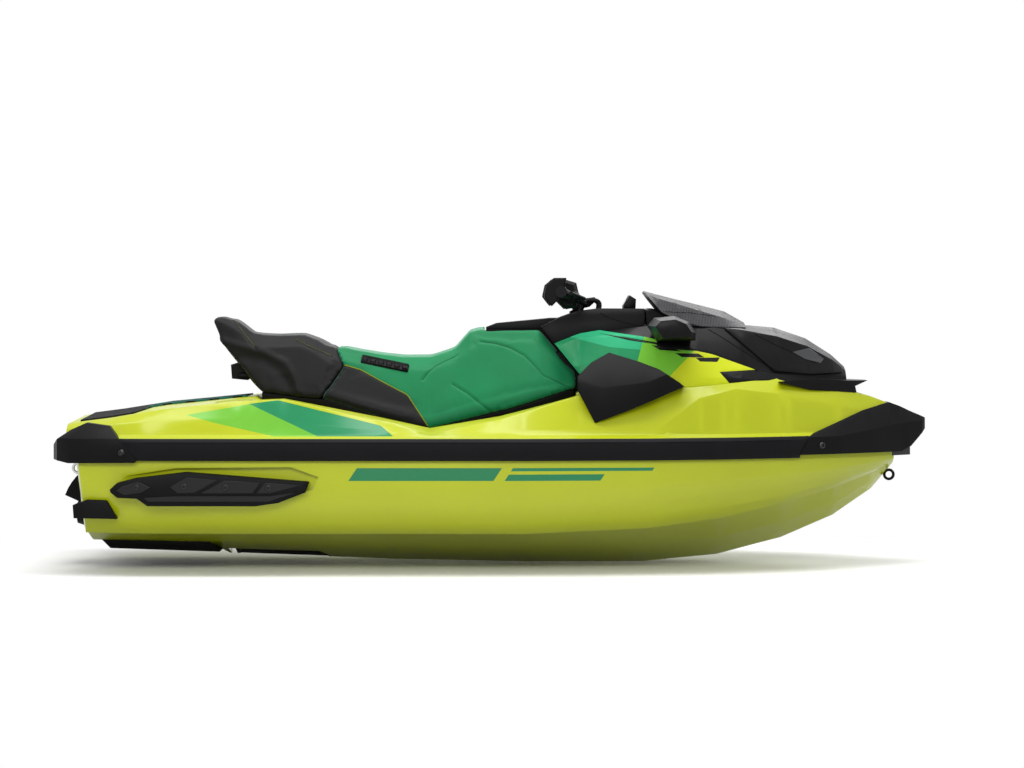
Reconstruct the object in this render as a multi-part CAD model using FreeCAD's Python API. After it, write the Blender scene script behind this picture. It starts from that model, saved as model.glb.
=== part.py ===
import FreeCAD, Part
import math
import os
from FreeCAD import Vector

# A sit-on personal watercraft: moulded hull and deck, jet pump, steering, seats and lids.
# X runs to the bow, Y to port and Z up. Z is zero at the waterline and X is zero amidships.

# Driving sizes of the craft
HALF_LENGTH = 1659.0
HALF_HULL = 600.0
KEEL_DEPTH = 267.0
DECK_HEIGHT = 457.0
SCREEN_HEIGHT = 784.0
SEAM_HEIGHT = 150.0
OVERRUN = 40.0
REST_GAP = 0.3
RUN_GAP = 6.0
TIGHT_GAP = 1.0

# Rubbing rail and bumpers
RAIL_THICKNESS = 27.5
RAIL_LOW = 155.0
RAIL_HIGH = 236.0
RAIL_CHAMFER = 12.0
BUMPER_STAND = 30.0
BUMPER_RISE = 60.0
BUMPER_INSET = 55.0
TRANSOM_TOP_X = -1580.0
TRANSOM_FOOT_X = -1529.0
STERN_CORNER_Y = 400.0
STERN_CORNER_RUN = 45.0
DECK_REAR_X = -1600.0

# Jet pump, in the tunnel under the stern
PUMP_Z = -75.0
PUMP_BORE = 78.0
PUMP_WALL = 9.0
PUMP_FRONT_X = -1130.0
PUMP_REAR_X = -1400.0
CONE_REAR_X = -1515.0
OUTLET_BORE = 42.0
TUNNEL_HALF = 128.0
TUNNEL_TOP = 12.0
STERN_POCKET_HALF = 156.0
STERN_POCKET_TOP = 124.0
STERN_POCKET_X = -1390.0
VANE_COUNT = 6
VANE_THICKNESS = 4.0
VANE_TWIST_DEG = 24.0
BLADE_COUNT = 4
BLADE_THICKNESS = 5.0
BLADE_LENGTH = 62.0
BLADE_TWIST_DEG = 78.0
TWIST_STEPS = 6
IMPELLER_X = -1215.0
HUB_RADIUS = 27.0
SHAFT_RADIUS = 14.0
SHAFT_FRONT_X = -905.0

# Steering nozzle and reversing bucket
NOZZLE_PIVOT_X = -1533.0
NOZZLE_BORE = 66.0
NOZZLE_WALL = 5.0
NOZZLE_REACH = 96.0
NOZZLE_FRONT = 10.0
NOZZLE_PIN = 7.0
EAR_HEIGHT = 9.0
BUCKET_PIVOT_X = -1460.0
BUCKET_RADIUS = 210.0
BUCKET_WALL = 6.0
BUCKET_HALF = 116.0
BUCKET_ARM = 7.0
BUCKET_PIN = 9.0
BUCKET_FROM_DEG = 20.0
BUCKET_TO_DEG = 64.0
BUCKET_STEPS = 6

# Intake duct, grate and ride plate
INTAKE_REAR_X = -1010.0
INTAKE_FRONT_X = -640.0
INTAKE_HALF = 86.0
GRATE_FRAME = 14.0
GRATE_DEPTH = 16.0
TINE_COUNT = 4
TINE_WIDTH = 9.0
PLATE_REAR_X = -1530.0
PLATE_FRONT_X = -1060.0
PLATE_HALF = 205.0
PLATE_LOW = -213.0
PLATE_THICKNESS = 52.0
PLATE_LIFT = 14.0
PLATE_RAKE = 52.0

# Engine bay and the engine block
BAY_REAR_X = -640.0
BAY_FRONT_X = 150.0
BAY_HALF = 205.0
BAY_FLOOR = -180.0
ENGINE_LENGTH = 690.0
ENGINE_HALF = 185.0
ENGINE_TOP = 190.0
ENGINE_REAR_X = -590.0

# Footwells and mats
WELL_INNER = 266.0
WELL_OUTER = 440.0
WELL_NOSE_OUTER = 400.0
WELL_NOSE_X = 250.0
TUB_WALL = 6.0
MAT_THICKNESS = 6.0
MAT_MARGIN = 14.0
STERN_MAT_REAR_X = -1560.0
STERN_MAT_FRONT_X = -1360.0
STERN_STRIP_FRONT_X = -960.0
STERN_STRIP_HALF = 150.0
STERN_MAT_HALF = 420.0

# Seats
PAN_HEIGHT = 30.0
PAN_INSET = 8.0
BOX_HALF = 97.0
BOX_REAR_X = -44.0
BOX_FRONT_X = 250.0
BOX_FLOOR = 486.0
BOX_WALL = 5.0
LID_THICKNESS = 16.0
LID_HINGE_X = 246.0
LID_HINGE_Z = 652.0
LID_CROWN = 28.0
HANDLE_X = -1010.0
HANDLE_Z = 458.0
HANDLE_RADIUS = 13.0
HANDLE_HALF = 96.0
HANDLE_REACH = 100.0

# Front body, hood, fairings and screen
PANEL_THICKNESS = 12.0
HOOD_REAR_X = 604.0
HOOD_WALL = 26.0
HOOD_PANEL_RISE = 7.0
HOOD_PANEL_INNER = 62.0
HOOD_HINGE_X = 1352.0
BIN_REAR_X = 690.0
BIN_FRONT_X = 1120.0
BIN_HALF = 178.0
BIN_NOSE_HALF = 120.0
BIN_FLOOR = 170.0
BIN_WALL = 5.0
SCREEN_THICKNESS = 7.0
MIRROR_INNER = 205.0
MIRROR_OUTER = 452.0

# Steering column and handlebar
COLUMN_TILT_DEG = 28.0
COLUMN_X = 306.0
COLUMN_Z = 690.0
COLUMN_RADIUS = 19.0
COLUMN_DROP = 70.0
BAR_RADIUS = 12.5
GRIP_RADIUS = 18.0
GRIP_LENGTH = 122.0
PAD_HALF = 62.0
BAR_HALF = 390.0
BAR_BEND = 118.0
BAR_SWEEP = 62.0
BAR_RISE = 88.0
LEVER_RADIUS = 7.0
LEVER_REACH = 47.0
COVER_HALF = 198.0
COVER_SHOULDER_HALF = 161.0
COVER_TOP_HALF = 118.0
SWING_RADIUS = 124.0
DISPLAY_HEIGHT = 40.0

# Small fittings
EYE_RADIUS = 17.0
EYE_WIRE = 6.0
EYE_BORE = 12.5
EYE_LAND = 8.0
BOW_EYE_X = 1520.0
BOW_EYE_Z = 72.0
STERN_EYE_Y = 292.0
STERN_EYE_Z = 112.0
GUARD_INNER = 440.0
GUARD_OUTER = 564.0
SPONSON_INNER = 540.0
SPONSON_OUTER = 628.0
SPONSON_BEVEL = 9.0
SPONSON_BEVEL_SHARE = 0.94
RECESS_HALF = 572.0

# Hull stations: x, keel z, then y and z of strake, inner chine, chine lip, outer chine, side and crease,
# and y at the seam
HULL_SHARES = [
    (
        -0.989, -0.787, 0.392, -0.588, 0.700, -0.352, 0.760, -0.442,
        0.830, -0.277, 0.880, -0.022, 0.908, 0.217, 0.920,
    ),
    (
        -0.784, -0.831, 0.392, -0.610, 0.725, -0.367, 0.792, -0.461,
        0.875, -0.292, 0.933, -0.037, 0.963, 0.206, 0.980,
    ),
    (
        -0.542, -0.891, 0.392, -0.637, 0.733, -0.378, 0.803, -0.464,
        0.892, -0.296, 0.953, -0.037, 0.983, 0.202, 1.000,
    ),
    (
        -0.241, -0.959, 0.392, -0.674, 0.733, -0.390, 0.803, -0.464,
        0.892, -0.296, 0.953, -0.037, 0.983, 0.202, 1.000,
    ),
    (
        0.060, -0.996, 0.383, -0.704, 0.728, -0.404, 0.797, -0.468,
        0.887, -0.292, 0.950, -0.030, 0.982, 0.206, 1.000,
    ),
    (
        0.338, -0.993, 0.342, -0.685, 0.667, -0.345, 0.733, -0.397,
        0.820, -0.217, 0.883, 0.019, 0.920, 0.225, 0.937,
    ),
    (
        0.512, -0.891, 0.275, -0.599, 0.550, -0.232, 0.613, -0.270,
        0.697, -0.105, 0.758, 0.094, 0.797, 0.262, 0.815,
    ),
    (
        0.663, -0.644, 0.200, -0.393, 0.408, -0.056, 0.458, -0.075,
        0.530, 0.045, 0.583, 0.195, 0.618, 0.330, 0.637,
    ),
    (
        0.784, -0.318, 0.133, -0.112, 0.267, 0.142, 0.300, 0.135,
        0.353, 0.217, 0.397, 0.318, 0.427, 0.404, 0.440,
    ),
    (
        0.874, 0.067, 0.075, 0.187, 0.147, 0.330, 0.163, 0.330,
        0.200, 0.375, 0.227, 0.434, 0.247, 0.480, 0.257,
    ),
    (
        0.922, 0.420, 0.042, 0.440, 0.075, 0.460, 0.083, 0.468,
        0.100, 0.485, 0.113, 0.500, 0.125, 0.520, 0.130,
    ),
]

# Deck stations: x, then y and z of ledge, crease and top edge, and z on the centre line
DECK_SHARES = [
    (-1.013, 0.870, 0.516, 0.840, 0.565, 0.800, 0.604, 0.639),
    (-0.872, 0.900, 0.538, 0.858, 0.624, 0.783, 0.670, 0.705),
    (-0.759, 0.920, 0.540, 0.867, 0.656, 0.783, 0.740, 0.770),
    (-0.579, 0.933, 0.540, 0.883, 0.672, 0.817, 0.815, 0.832),
    (-0.478, 0.937, 0.540, 0.892, 0.650, 0.833, 0.828, 0.858),
    (-0.263, 0.937, 0.540, 0.908, 0.580, 0.842, 0.650, 0.875),
    (-0.151, 0.937, 0.540, 0.908, 0.543, 0.842, 0.549, 0.875),
    (0.007, 0.937, 0.540, 0.908, 0.573, 0.833, 0.663, 0.875),
    (0.187, 0.908, 0.540, 0.883, 0.586, 0.783, 0.860, 0.886),
    (0.357, 0.867, 0.540, 0.853, 0.573, 0.733, 0.893, 0.908),
    (0.458, 0.800, 0.540, 0.733, 0.836, 0.667, 0.928, 0.937),
    (0.542, 0.725, 0.540, 0.633, 0.908, 0.558, 0.954, 0.963),
    (0.641, 0.617, 0.540, 0.525, 0.862, 0.408, 0.990, 0.998),
    (0.787, 0.400, 0.540, 0.333, 0.756, 0.250, 0.905, 0.911),
    (0.868, 0.247, 0.540, 0.213, 0.690, 0.150, 0.825, 0.831),
    (0.909, 0.160, 0.540, 0.140, 0.667, 0.100, 0.770, 0.775),
    (0.964, 0.042, 0.530, 0.038, 0.573, 0.030, 0.660, 0.665),
]

# Half-beam at the seam along the craft
OUTLINE_SHARES = [
    (-1.013, 0.920), (-0.784, 0.980), (-0.542, 1.000), (-0.241, 1.000), (0.060, 1.000), (0.338, 0.937),
    (0.512, 0.815), (0.663, 0.637), (0.784, 0.440), (0.874, 0.257), (0.928, 0.130), (0.964, 0.043),
]

# Front body stations: x, base y, then y and z of shoulder, edge and crown, and z on the centre line
BODY_SHARES = [
    (0.121, 0.500, 0.500, 0.612, 0.383, 0.721, 0.183, 0.753, 0.760),
    (0.189, 0.575, 0.550, 0.638, 0.425, 0.773, 0.250, 0.797, 0.816),
    (0.280, 0.642, 0.587, 0.644, 0.487, 0.786, 0.333, 0.819, 0.835),
    (0.362, 0.653, 0.587, 0.620, 0.505, 0.765, 0.370, 0.842, 0.867),
    (0.456, 0.630, 0.575, 0.589, 0.487, 0.717, 0.333, 0.829, 0.852),
    (0.561, 0.550, 0.520, 0.574, 0.442, 0.642, 0.293, 0.806, 0.835),
    (0.646, 0.447, 0.423, 0.561, 0.373, 0.600, 0.230, 0.773, 0.819),
    (0.719, 0.342, 0.317, 0.556, 0.297, 0.593, 0.172, 0.724, 0.767),
    (0.778, 0.233, 0.217, 0.548, 0.207, 0.586, 0.120, 0.657, 0.688),
    (0.811, 0.153, 0.142, 0.541, 0.137, 0.578, 0.080, 0.607, 0.625),
]
BODY_BASE_SHARE = 0.480

# Seat stations: x, top z, then half-widths of the crown, the shoulder and the foot, and foot z
RIDER_SEAT_SHARES = [
    (-0.394, 0.742, 0.187, 0.277, 0.370, 0.471),
    (-0.321, 0.710, 0.190, 0.287, 0.397, 0.421),
    (-0.263, 0.690, 0.190, 0.290, 0.412, 0.381),
    (-0.216, 0.680, 0.187, 0.290, 0.420, 0.353),
    (-0.157, 0.682, 0.177, 0.283, 0.427, 0.327),
    (-0.099, 0.727, 0.163, 0.270, 0.428, 0.360),
    (-0.064, 0.811, 0.173, 0.260, 0.430, 0.378),
    (-0.036, 0.827, 0.180, 0.253, 0.432, 0.392),
    (0.036, 0.823, 0.200, 0.260, 0.437, 0.431),
    (0.098, 0.819, 0.213, 0.270, 0.440, 0.472),
    (0.142, 0.705, 0.267, 0.317, 0.433, 0.503),
    (0.181, 0.603, 0.327, 0.357, 0.403, 0.529),
]
PASSENGER_SEAT_SHARES = [
    (-0.658, 0.872, 0.100, 0.140, 0.150, 0.848),
    (-0.635, 0.876, 0.123, 0.173, 0.197, 0.738),
    (-0.605, 0.858, 0.143, 0.207, 0.233, 0.662),
    (-0.567, 0.793, 0.160, 0.233, 0.267, 0.560),
    (-0.543, 0.787, 0.167, 0.247, 0.297, 0.505),
    (-0.508, 0.784, 0.170, 0.253, 0.317, 0.495),
    (-0.450, 0.790, 0.177, 0.263, 0.343, 0.480),
    (-0.415, 0.765, 0.183, 0.270, 0.357, 0.473),
]
SEAT_JOINT_SHARES = [(-0.373, 0.920), (-0.373, 0.716), (-0.353, 0.631), (-0.407, 0.467), (-0.440, 0.380)]
SEAT_CROWN_SHARE = 0.03
SEAT_SHOULDER_SHARE = 0.22
SEAT_FOOT_SHARE = 0.12

# Screen stations: x, half-width, then z of edge, shoulder and centre line
SCREEN_SHARES = [
    (0.341, 0.353, 0.972, 0.990, 1.000),
    (0.368, 0.377, 0.901, 0.964, 0.985),
    (0.416, 0.370, 0.857, 0.936, 0.959),
    (0.470, 0.342, 0.828, 0.901, 0.931),
    (0.530, 0.283, 0.824, 0.865, 0.899),
    (0.576, 0.200, 0.821, 0.832, 0.844),
]
SCREEN_SHOULDER_SHARE = 0.62

# Side profiles, x along the half-length and z along the height that each follows
HOOD_SEAM_SHARES = [
    (0.300, 0.722), (0.362, 0.722), (0.456, 0.709), (0.500, 0.689), (0.599, 0.612), (0.646, 0.598),
    (0.733, 0.590), (0.830, 0.578),
]
FAIRING_SHARES = [
    (0.100, 0.740), (0.124, 0.752), (0.184, 0.792), (0.235, 0.808), (0.338, 0.777), (0.462, 0.715),
    (0.592, 0.617), (0.507, 0.608), (0.536, 0.537), (0.548, 0.470), (0.100, 0.470),
]
HOOD_PANEL_SHARES = [
    (0.501, 0.860), (0.637, 0.611), (0.724, 0.594), (0.802, 0.600), (0.802, 0.700), (0.700, 0.860),
]
KNEE_POD_SHARES = [
    (0.254, 0.703), (0.213, 0.655), (0.182, 0.590), (0.183, 0.520), (0.220, 0.371), (0.300, 0.434),
    (0.422, 0.542), (0.411, 0.562), (0.366, 0.624), (0.321, 0.660),
]
KNEE_POD_PLAN_SHARES = [
    (0.170, 0.800), (0.185, 0.850), (0.240, 0.872), (0.340, 0.845), (0.422, 0.775), (0.430, 0.720),
    (0.430, 0.520), (0.300, 0.560), (0.170, 0.700),
]
KNEE_POD_CROWN_SHARES = [(0.000, 0.300), (0.890, 0.300), (0.890, 0.520), (0.700, 0.710), (0.000, 0.710)]
MIRROR_SHARES = [
    (0.341, 0.830), (0.357, 0.869), (0.403, 0.878), (0.436, 0.849),
    (0.452, 0.797), (0.452, 0.760), (0.364, 0.754),
]
MIRROR_END_SHARE = 0.72
SEAT_FRONT_SHARES = [(0.098, 0.819), (0.186, 0.590)]
COVER_SHARES = [
    (0.099, 0.825), (0.143, 0.868), (0.184, 0.900), (0.236, 0.914), (0.340, 0.913), (0.340, 0.740),
    (0.110, 0.720),
]
DISPLAY_SHARES = [(-1.90, -1.00), (-1.93, 0.33), (-1.35, 1.28), (-0.75, 0.90), (-0.85, -1.00)]
BAR_PAD_SHARES = [(-1.0, 1.4), (-2.0, 3.4), (1.0, 5.0), (5.6, 5.6), (6.2, 4.6), (4.0, 2.6)]
BOW_BUMPER_SHARES = [
    (0.687, 0.300), (0.687, 0.363), (0.709, 0.510), (0.721, 0.536), (0.843, 0.713), (0.909, 0.777),
    (1.010, 0.777), (1.010, 0.300),
]
STERN_BUMPER_SHARES = [
    (-1.010, 0.345), (-1.010, 0.405), (-0.984, 0.508), (-0.954, 0.582), (-0.918, 0.641), (-0.864, 0.617),
    (-0.801, 0.341), (-0.805, 0.324), (-0.957, 0.317), (-0.985, 0.337),
]
STERN_PLAN_SHARES = [
    (-0.800, 0.990), (-0.904, 0.990), (-0.952, 0.966), (-0.983, 0.905), (-0.996, 0.800), (-0.998, 0.550),
    (-0.930, 0.550), (-0.930, 0.400), (-0.800, 0.400),
]
SPONSON_SHARES = [
    (-0.860, 0.184), (-0.843, 0.281), (-0.802, 0.345), (-0.691, 0.427), (-0.417, 0.292), (-0.425, 0.146),
    (-0.485, 0.000), (-0.536, -0.045), (-0.776, -0.045), (-0.800, 0.060), (-0.843, 0.071), (-0.858, 0.146),
]
RECESS_SHARES = [
    (-0.851, 0.262), (-0.820, 0.371), (-0.715, 0.476), (-0.459, 0.494), (-0.397, 0.356), (-0.410, 0.176),
    (-0.500, 0.075), (-0.800, 0.075),
]
CORNER_GUARD_SHARES = [(-0.947, -0.041), (-0.945, -0.225), (-0.847, -0.236), (-0.870, 0.026), (-0.915, 0.034)]
FOOTWELL_SHARES = [
    (-0.639, 1.100), (-0.639, 0.755), (-0.500, 0.210), (0.199, 0.184), (0.259, 0.438), (0.271, 1.100),
]
BOW_BLADE_SHARES = [
    (0.862, 0.960), (0.829, 0.915), (0.833, 0.860), (0.717, 0.890), (0.643, 0.960), (0.733, 0.982),
    (0.806, 0.965),
]

# Bow bumper stations: x, low z, then y and z of the outer crease and of the top edge
BOW_STATION_SHARES = [
    (0.680, 0.363, 0.659, 0.508, 0.590, 0.560),
    (0.784, 0.363, 0.490, 0.510, 0.390, 0.650),
    (0.868, 0.363, 0.320, 0.560, 0.212, 0.755),
    (0.909, 0.363, 0.226, 0.588, 0.113, 0.780),
    (0.938, 0.363, 0.160, 0.600, 0.088, 0.742),
    (0.964, 0.407, 0.105, 0.611, 0.050, 0.698),
    (0.992, 0.512, 0.042, 0.620, 0.020, 0.656),
    (1.000, 0.550, 0.010, 0.624, 0.005, 0.642),
]

# Screen side edge, and the outline of a control housing in grip radii about the bar
SCREEN_EDGE_SHARES = [(0.341, 0.990), (0.379, 0.892), (0.442, 0.833), (0.508, 0.818), (0.580, 0.820)]
HOUSING_SHARES = [
    (-3.6, 1.2), (-1.8, 3.8), (0.8, 3.0), (1.4, 0.4), (0.6, -2.2), (-1.4, -2.6), (-3.2, -0.8),
]
HOUSING_END_SHARE = 0.78


def xz(shares, height):
    return [(x * HALF_LENGTH, z * height) for x, z in shares]


def wire(points):
    vectors = [Vector(*point) for point in points]
    return Part.makePolygon(vectors + [vectors[0]])


def side_prism(profile, y_low, y_high):
    face = Part.Face(wire([(x, y_low, z) for x, z in profile]))
    return face.extrude(Vector(0, y_high - y_low, 0))


def plan_prism(outline, z_low, z_high):
    face = Part.Face(wire([(x, y, z_low) for x, y in outline]))
    return face.extrude(Vector(0, 0, z_high - z_low))


def cross_prism(section, x_low, x_high):
    face = Part.Face(wire([(x_low, y, z) for y, z in section]))
    return face.extrude(Vector(x_high - x_low, 0, 0))


def block(x_low, x_high, y_low, y_high, z_low, z_high):
    return Part.makeBox(x_high - x_low, y_high - y_low, z_high - z_low, Vector(x_low, y_low, z_low))


def mirrored(shape):
    return shape.mirror(Vector(0, 0, 0), Vector(0, 1, 0))


def both_sides(half_outline):
    other = [(x, -y) for x, y in reversed(half_outline) if y != 0]
    return half_outline + other


def loft(sections):
    return Part.makeLoft([wire(section) for section in sections], True, True)


def rod(start, end, radius):
    direction = end - start
    return Part.makeCylinder(radius, direction.Length, start, direction)


def bent_rod(points, radius):
    pieces = [rod(a, b, radius) for a, b in zip(points, points[1:])]
    pieces += [Part.makeSphere(radius, point) for point in points[1:-1]]
    return pieces[0].fuse(pieces[1:])


def at_x(table, x):
    rows = sorted(table)
    if x <= rows[0][0]:
        return rows[0]
    for low, high in zip(rows, rows[1:]):
        if x <= high[0]:
            part = (x - low[0]) / (high[0] - low[0])
            return tuple(a + part * (b - a) for a, b in zip(low, high))
    return rows[-1]


def outline_y(share):
    return at_x(OUTLINE_SHARES, share)[1] * HALF_HULL


def section(x, half):
    return [(x, y, z) for y, z in half] + [(x, -y, z) for y, z in reversed(half) if y != 0]


def hull_form():
    sections = []
    for row in HULL_SHARES:
        keel = (0, row[1] * KEEL_DEPTH)
        bends = [(row[i] * HALF_HULL, row[i + 1] * KEEL_DEPTH) for i in range(2, 14, 2)]
        seam = [(row[14] * HALF_HULL, SEAM_HEIGHT), (0, SEAM_HEIGHT)]
        sections.append(section(row[0] * HALF_LENGTH, [keel] + bends + seam))
    return loft(sections)


def deck_stations():
    shares = sorted({row[0] for row in DECK_SHARES} | {row[0] for row in OUTLINE_SHARES})
    return [at_x(DECK_SHARES, share) for share in shares]


def deck_form():
    sections = []
    for row in deck_stations():
        side = outline_y(row[0])
        bends = [(row[i] * HALF_HULL, row[i + 1] * DECK_HEIGHT) for i in range(1, 7, 2)]
        half = [(0, SEAM_HEIGHT), (side, SEAM_HEIGHT), (side, RAIL_HIGH)] + bends
        half.append((0, row[7] * DECK_HEIGHT))
        sections.append(section(row[0] * HALF_LENGTH, half))
    return loft(sections)


def body_form(inset):
    sections = []
    base = BODY_BASE_SHARE * SCREEN_HEIGHT
    for row in BODY_SHARES:
        low = [(row[1] * HALF_HULL - inset, base)]
        bends = [(row[i] * HALF_HULL - inset, row[i + 1] * SCREEN_HEIGHT - inset / 2) for i in range(2, 8, 2)]
        half = [(0, base)] + low + bends + [(0, row[8] * SCREEN_HEIGHT - inset / 2)]
        sections.append(section(row[0] * HALF_LENGTH, half))
    return loft(sections)


def seat_form(table):
    sections = []
    for row in table:
        top = row[1] * SCREEN_HEIGHT
        foot = row[5] * SCREEN_HEIGHT
        height = top - foot
        half = [
            (0, foot),
            (row[4] * HALF_HULL, foot),
            (row[4] * HALF_HULL, foot + SEAT_FOOT_SHARE * height),
            (row[3] * HALF_HULL, top - SEAT_SHOULDER_SHARE * height),
            (row[2] * HALF_HULL, top - SEAT_CROWN_SHARE * height),
            (0, top),
        ]
        sections.append(section(row[0] * HALF_LENGTH, half))
    return loft(sections)


def screen_form(drop):
    sections = []
    for row in SCREEN_SHARES:
        half_width = row[1] * HALF_HULL - drop
        low = min(row[2], HOOD_SEAM_SHARES[0][1]) * SCREEN_HEIGHT
        half = [
            (0, low),
            (half_width, low),
            (half_width, row[2] * SCREEN_HEIGHT - drop),
            (half_width * SCREEN_SHOULDER_SHARE, row[3] * SCREEN_HEIGHT - drop),
            (0, row[4] * SCREEN_HEIGHT - drop),
        ]
        sections.append(section(row[0] * HALF_LENGTH, half))
    return loft(sections)


def above(profile, top):
    first = (profile[0][0], top)
    last = (profile[-1][0], top)
    return side_prism(profile + [last, first], -HALF_HULL, HALF_HULL)


def well_plan(margin):
    rear = FOOTWELL_SHARES[0][0] * HALF_LENGTH
    front = FOOTWELL_SHARES[-1][0] * HALF_LENGTH
    return [
        (rear - OVERRUN, WELL_INNER - margin),
        (front + OVERRUN, WELL_INNER - margin),
        (front + OVERRUN, WELL_NOSE_OUTER + margin),
        (WELL_NOSE_X, WELL_OUTER + margin),
        (rear - OVERRUN, WELL_OUTER + margin),
    ]


def well_space():
    profile = xz(FOOTWELL_SHARES, DECK_HEIGHT)
    prism = side_prism(profile, WELL_INNER - OVERRUN, WELL_OUTER + OVERRUN)
    return prism.common(plan_prism(well_plan(0), -KEEL_DEPTH, SCREEN_HEIGHT))


def tub_block():
    floor = FOOTWELL_SHARES[3][1] * DECK_HEIGHT - TUB_WALL
    rear = FOOTWELL_SHARES[2][0] * HALF_LENGTH - OVERRUN
    front = FOOTWELL_SHARES[4][0] * HALF_LENGTH
    slab = block(rear, front, WELL_INNER - OVERRUN, WELL_OUTER + OVERRUN, floor, SEAM_HEIGHT)
    return slab.common(plan_prism(well_plan(TUB_WALL), floor, SEAM_HEIGHT))


def bay_space():
    return block(BAY_REAR_X, BAY_FRONT_X, -BAY_HALF, BAY_HALF, BAY_FLOOR, SCREEN_HEIGHT)


def bin_outline(margin):
    half = [
        (BIN_REAR_X - margin, BIN_HALF + margin),
        (BIN_FRONT_X + margin, BIN_NOSE_HALF + margin),
    ]
    return both_sides(half)


def stern_corner():
    slope = (TRANSOM_FOOT_X - TRANSOM_TOP_X) / (SEAM_HEIGHT + KEEL_DEPTH)
    outer = HALF_HULL + OVERRUN
    rear = -HALF_LENGTH - OVERRUN
    sections = []
    for z in (-KEEL_DEPTH - OVERRUN, SEAM_HEIGHT + OVERRUN):
        x = TRANSOM_TOP_X + slope * (SEAM_HEIGHT - z)
        plan = [(rear, STERN_CORNER_Y), (x, STERN_CORNER_Y), (x + STERN_CORNER_RUN, outer), (rear, outer)]
        sections.append([(x_point, y, z) for x_point, y in plan])
    return loft(sections)


def side_recess():
    return side_prism(xz(RECESS_SHARES, KEEL_DEPTH), -HALF_HULL - OVERRUN, -RECESS_HALF)


def duct_space():
    keel = -KEEL_DEPTH - OVERRUN
    profile = [
        (INTAKE_FRONT_X, keel),
        (INTAKE_FRONT_X, at_x(HULL_SHARES, INTAKE_FRONT_X / HALF_LENGTH)[1] * KEEL_DEPTH),
        (PUMP_FRONT_X + PUMP_BORE, PUMP_Z + PUMP_BORE),
        (PUMP_FRONT_X - OVERRUN, PUMP_Z + PUMP_BORE),
        (PUMP_FRONT_X - OVERRUN, PUMP_Z - PUMP_BORE),
        (PUMP_FRONT_X + PUMP_BORE, PUMP_Z - PUMP_BORE),
        (INTAKE_REAR_X, keel),
    ]
    return side_prism(profile, -INTAKE_HALF, INTAKE_HALF)


def hull():
    form = hull_form()
    low = -KEEL_DEPTH - OVERRUN
    slope = (TRANSOM_FOOT_X - TRANSOM_TOP_X) / (SEAM_HEIGHT + KEEL_DEPTH)
    stern = [
        (-HALF_LENGTH - OVERRUN, low),
        (TRANSOM_FOOT_X + slope * OVERRUN, low),
        (TRANSOM_TOP_X - slope * OVERRUN, SEAM_HEIGHT + OVERRUN),
        (-HALF_LENGTH - OVERRUN, SEAM_HEIGHT + OVERRUN),
    ]
    form = form.cut(side_prism(stern, -HALF_HULL, HALF_HULL))
    tunnel = block(-HALF_LENGTH, PUMP_FRONT_X, -TUNNEL_HALF, TUNNEL_HALF, low, TUNNEL_TOP)
    stern_pocket = block(
        -HALF_LENGTH, STERN_POCKET_X, -STERN_POCKET_HALF, STERN_POCKET_HALF, low, STERN_POCKET_TOP
    )
    shaft_hole = rod(
        Vector(PUMP_FRONT_X, 0, PUMP_Z), Vector(SHAFT_FRONT_X + RUN_GAP, 0, PUMP_Z), SHAFT_RADIUS + REST_GAP
    )
    starboard = [tub_block(), stern_corner()]
    port = [mirrored(shape) for shape in starboard]
    recesses = [side_recess(), mirrored(side_recess())]
    inside = [tunnel, stern_pocket, duct_space(), shaft_hole, bay_space(), plate_seat()]
    return form.cut(inside + starboard + port + recesses)


def plate_seat():
    profile = plate_profile(OVERRUN)
    return side_prism(profile, -PLATE_HALF, PLATE_HALF)


def plate_profile(depth):
    top = PLATE_LOW + PLATE_THICKNESS
    rise = PLATE_LIFT * (1 + depth / (PLATE_FRONT_X - PLATE_RAKE - PLATE_REAR_X))
    return [
        (PLATE_REAR_X - depth, top + rise),
        (PLATE_REAR_X + PLATE_RAKE - depth, PLATE_LOW + PLATE_LIFT - depth),
        (PLATE_FRONT_X + depth, PLATE_LOW - depth),
        (PLATE_FRONT_X - PLATE_RAKE, top),
    ]


def ride_plate():
    plate = side_prism(plate_profile(0), -PLATE_HALF, PLATE_HALF)
    rear = PLATE_REAR_X - OVERRUN
    notch = BUCKET_HALF + RUN_GAP
    bucket_room = block(rear, BUCKET_PIVOT_X + OVERRUN / 2, -notch, notch, -KEEL_DEPTH, 0)
    floor = PUMP_Z - PUMP_BORE - PUMP_WALL - RUN_GAP
    pump_room = block(rear, PUMP_FRONT_X, -TUNNEL_HALF, TUNNEL_HALF, floor, 0)
    return plate.cut([bucket_room, pump_room])


def intake_grate():
    low = -KEEL_DEPTH - OVERRUN
    rear = INTAKE_REAR_X + GRATE_FRAME
    front = INTAKE_FRONT_X - GRATE_FRAME
    inner = INTAKE_HALF - GRATE_FRAME
    ring = block(INTAKE_REAR_X, INTAKE_FRONT_X, -INTAKE_HALF, INTAKE_HALF, low, 0)
    ring = ring.cut(block(rear, front, -inner, inner, low, 0))
    tines = []
    for i in range(TINE_COUNT):
        y = -inner + (i + 1) * 2 * inner / (TINE_COUNT + 1)
        tines.append(block(INTAKE_REAR_X, INTAKE_FRONT_X, y - TINE_WIDTH / 2, y + TINE_WIDTH / 2, low, 0))
    raised = hull_form()
    raised.translate(Vector(0, 0, GRATE_DEPTH))
    skin = hull_form().cut(raised)
    return ring.fuse(tines).common(skin).common(duct_space())


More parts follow.
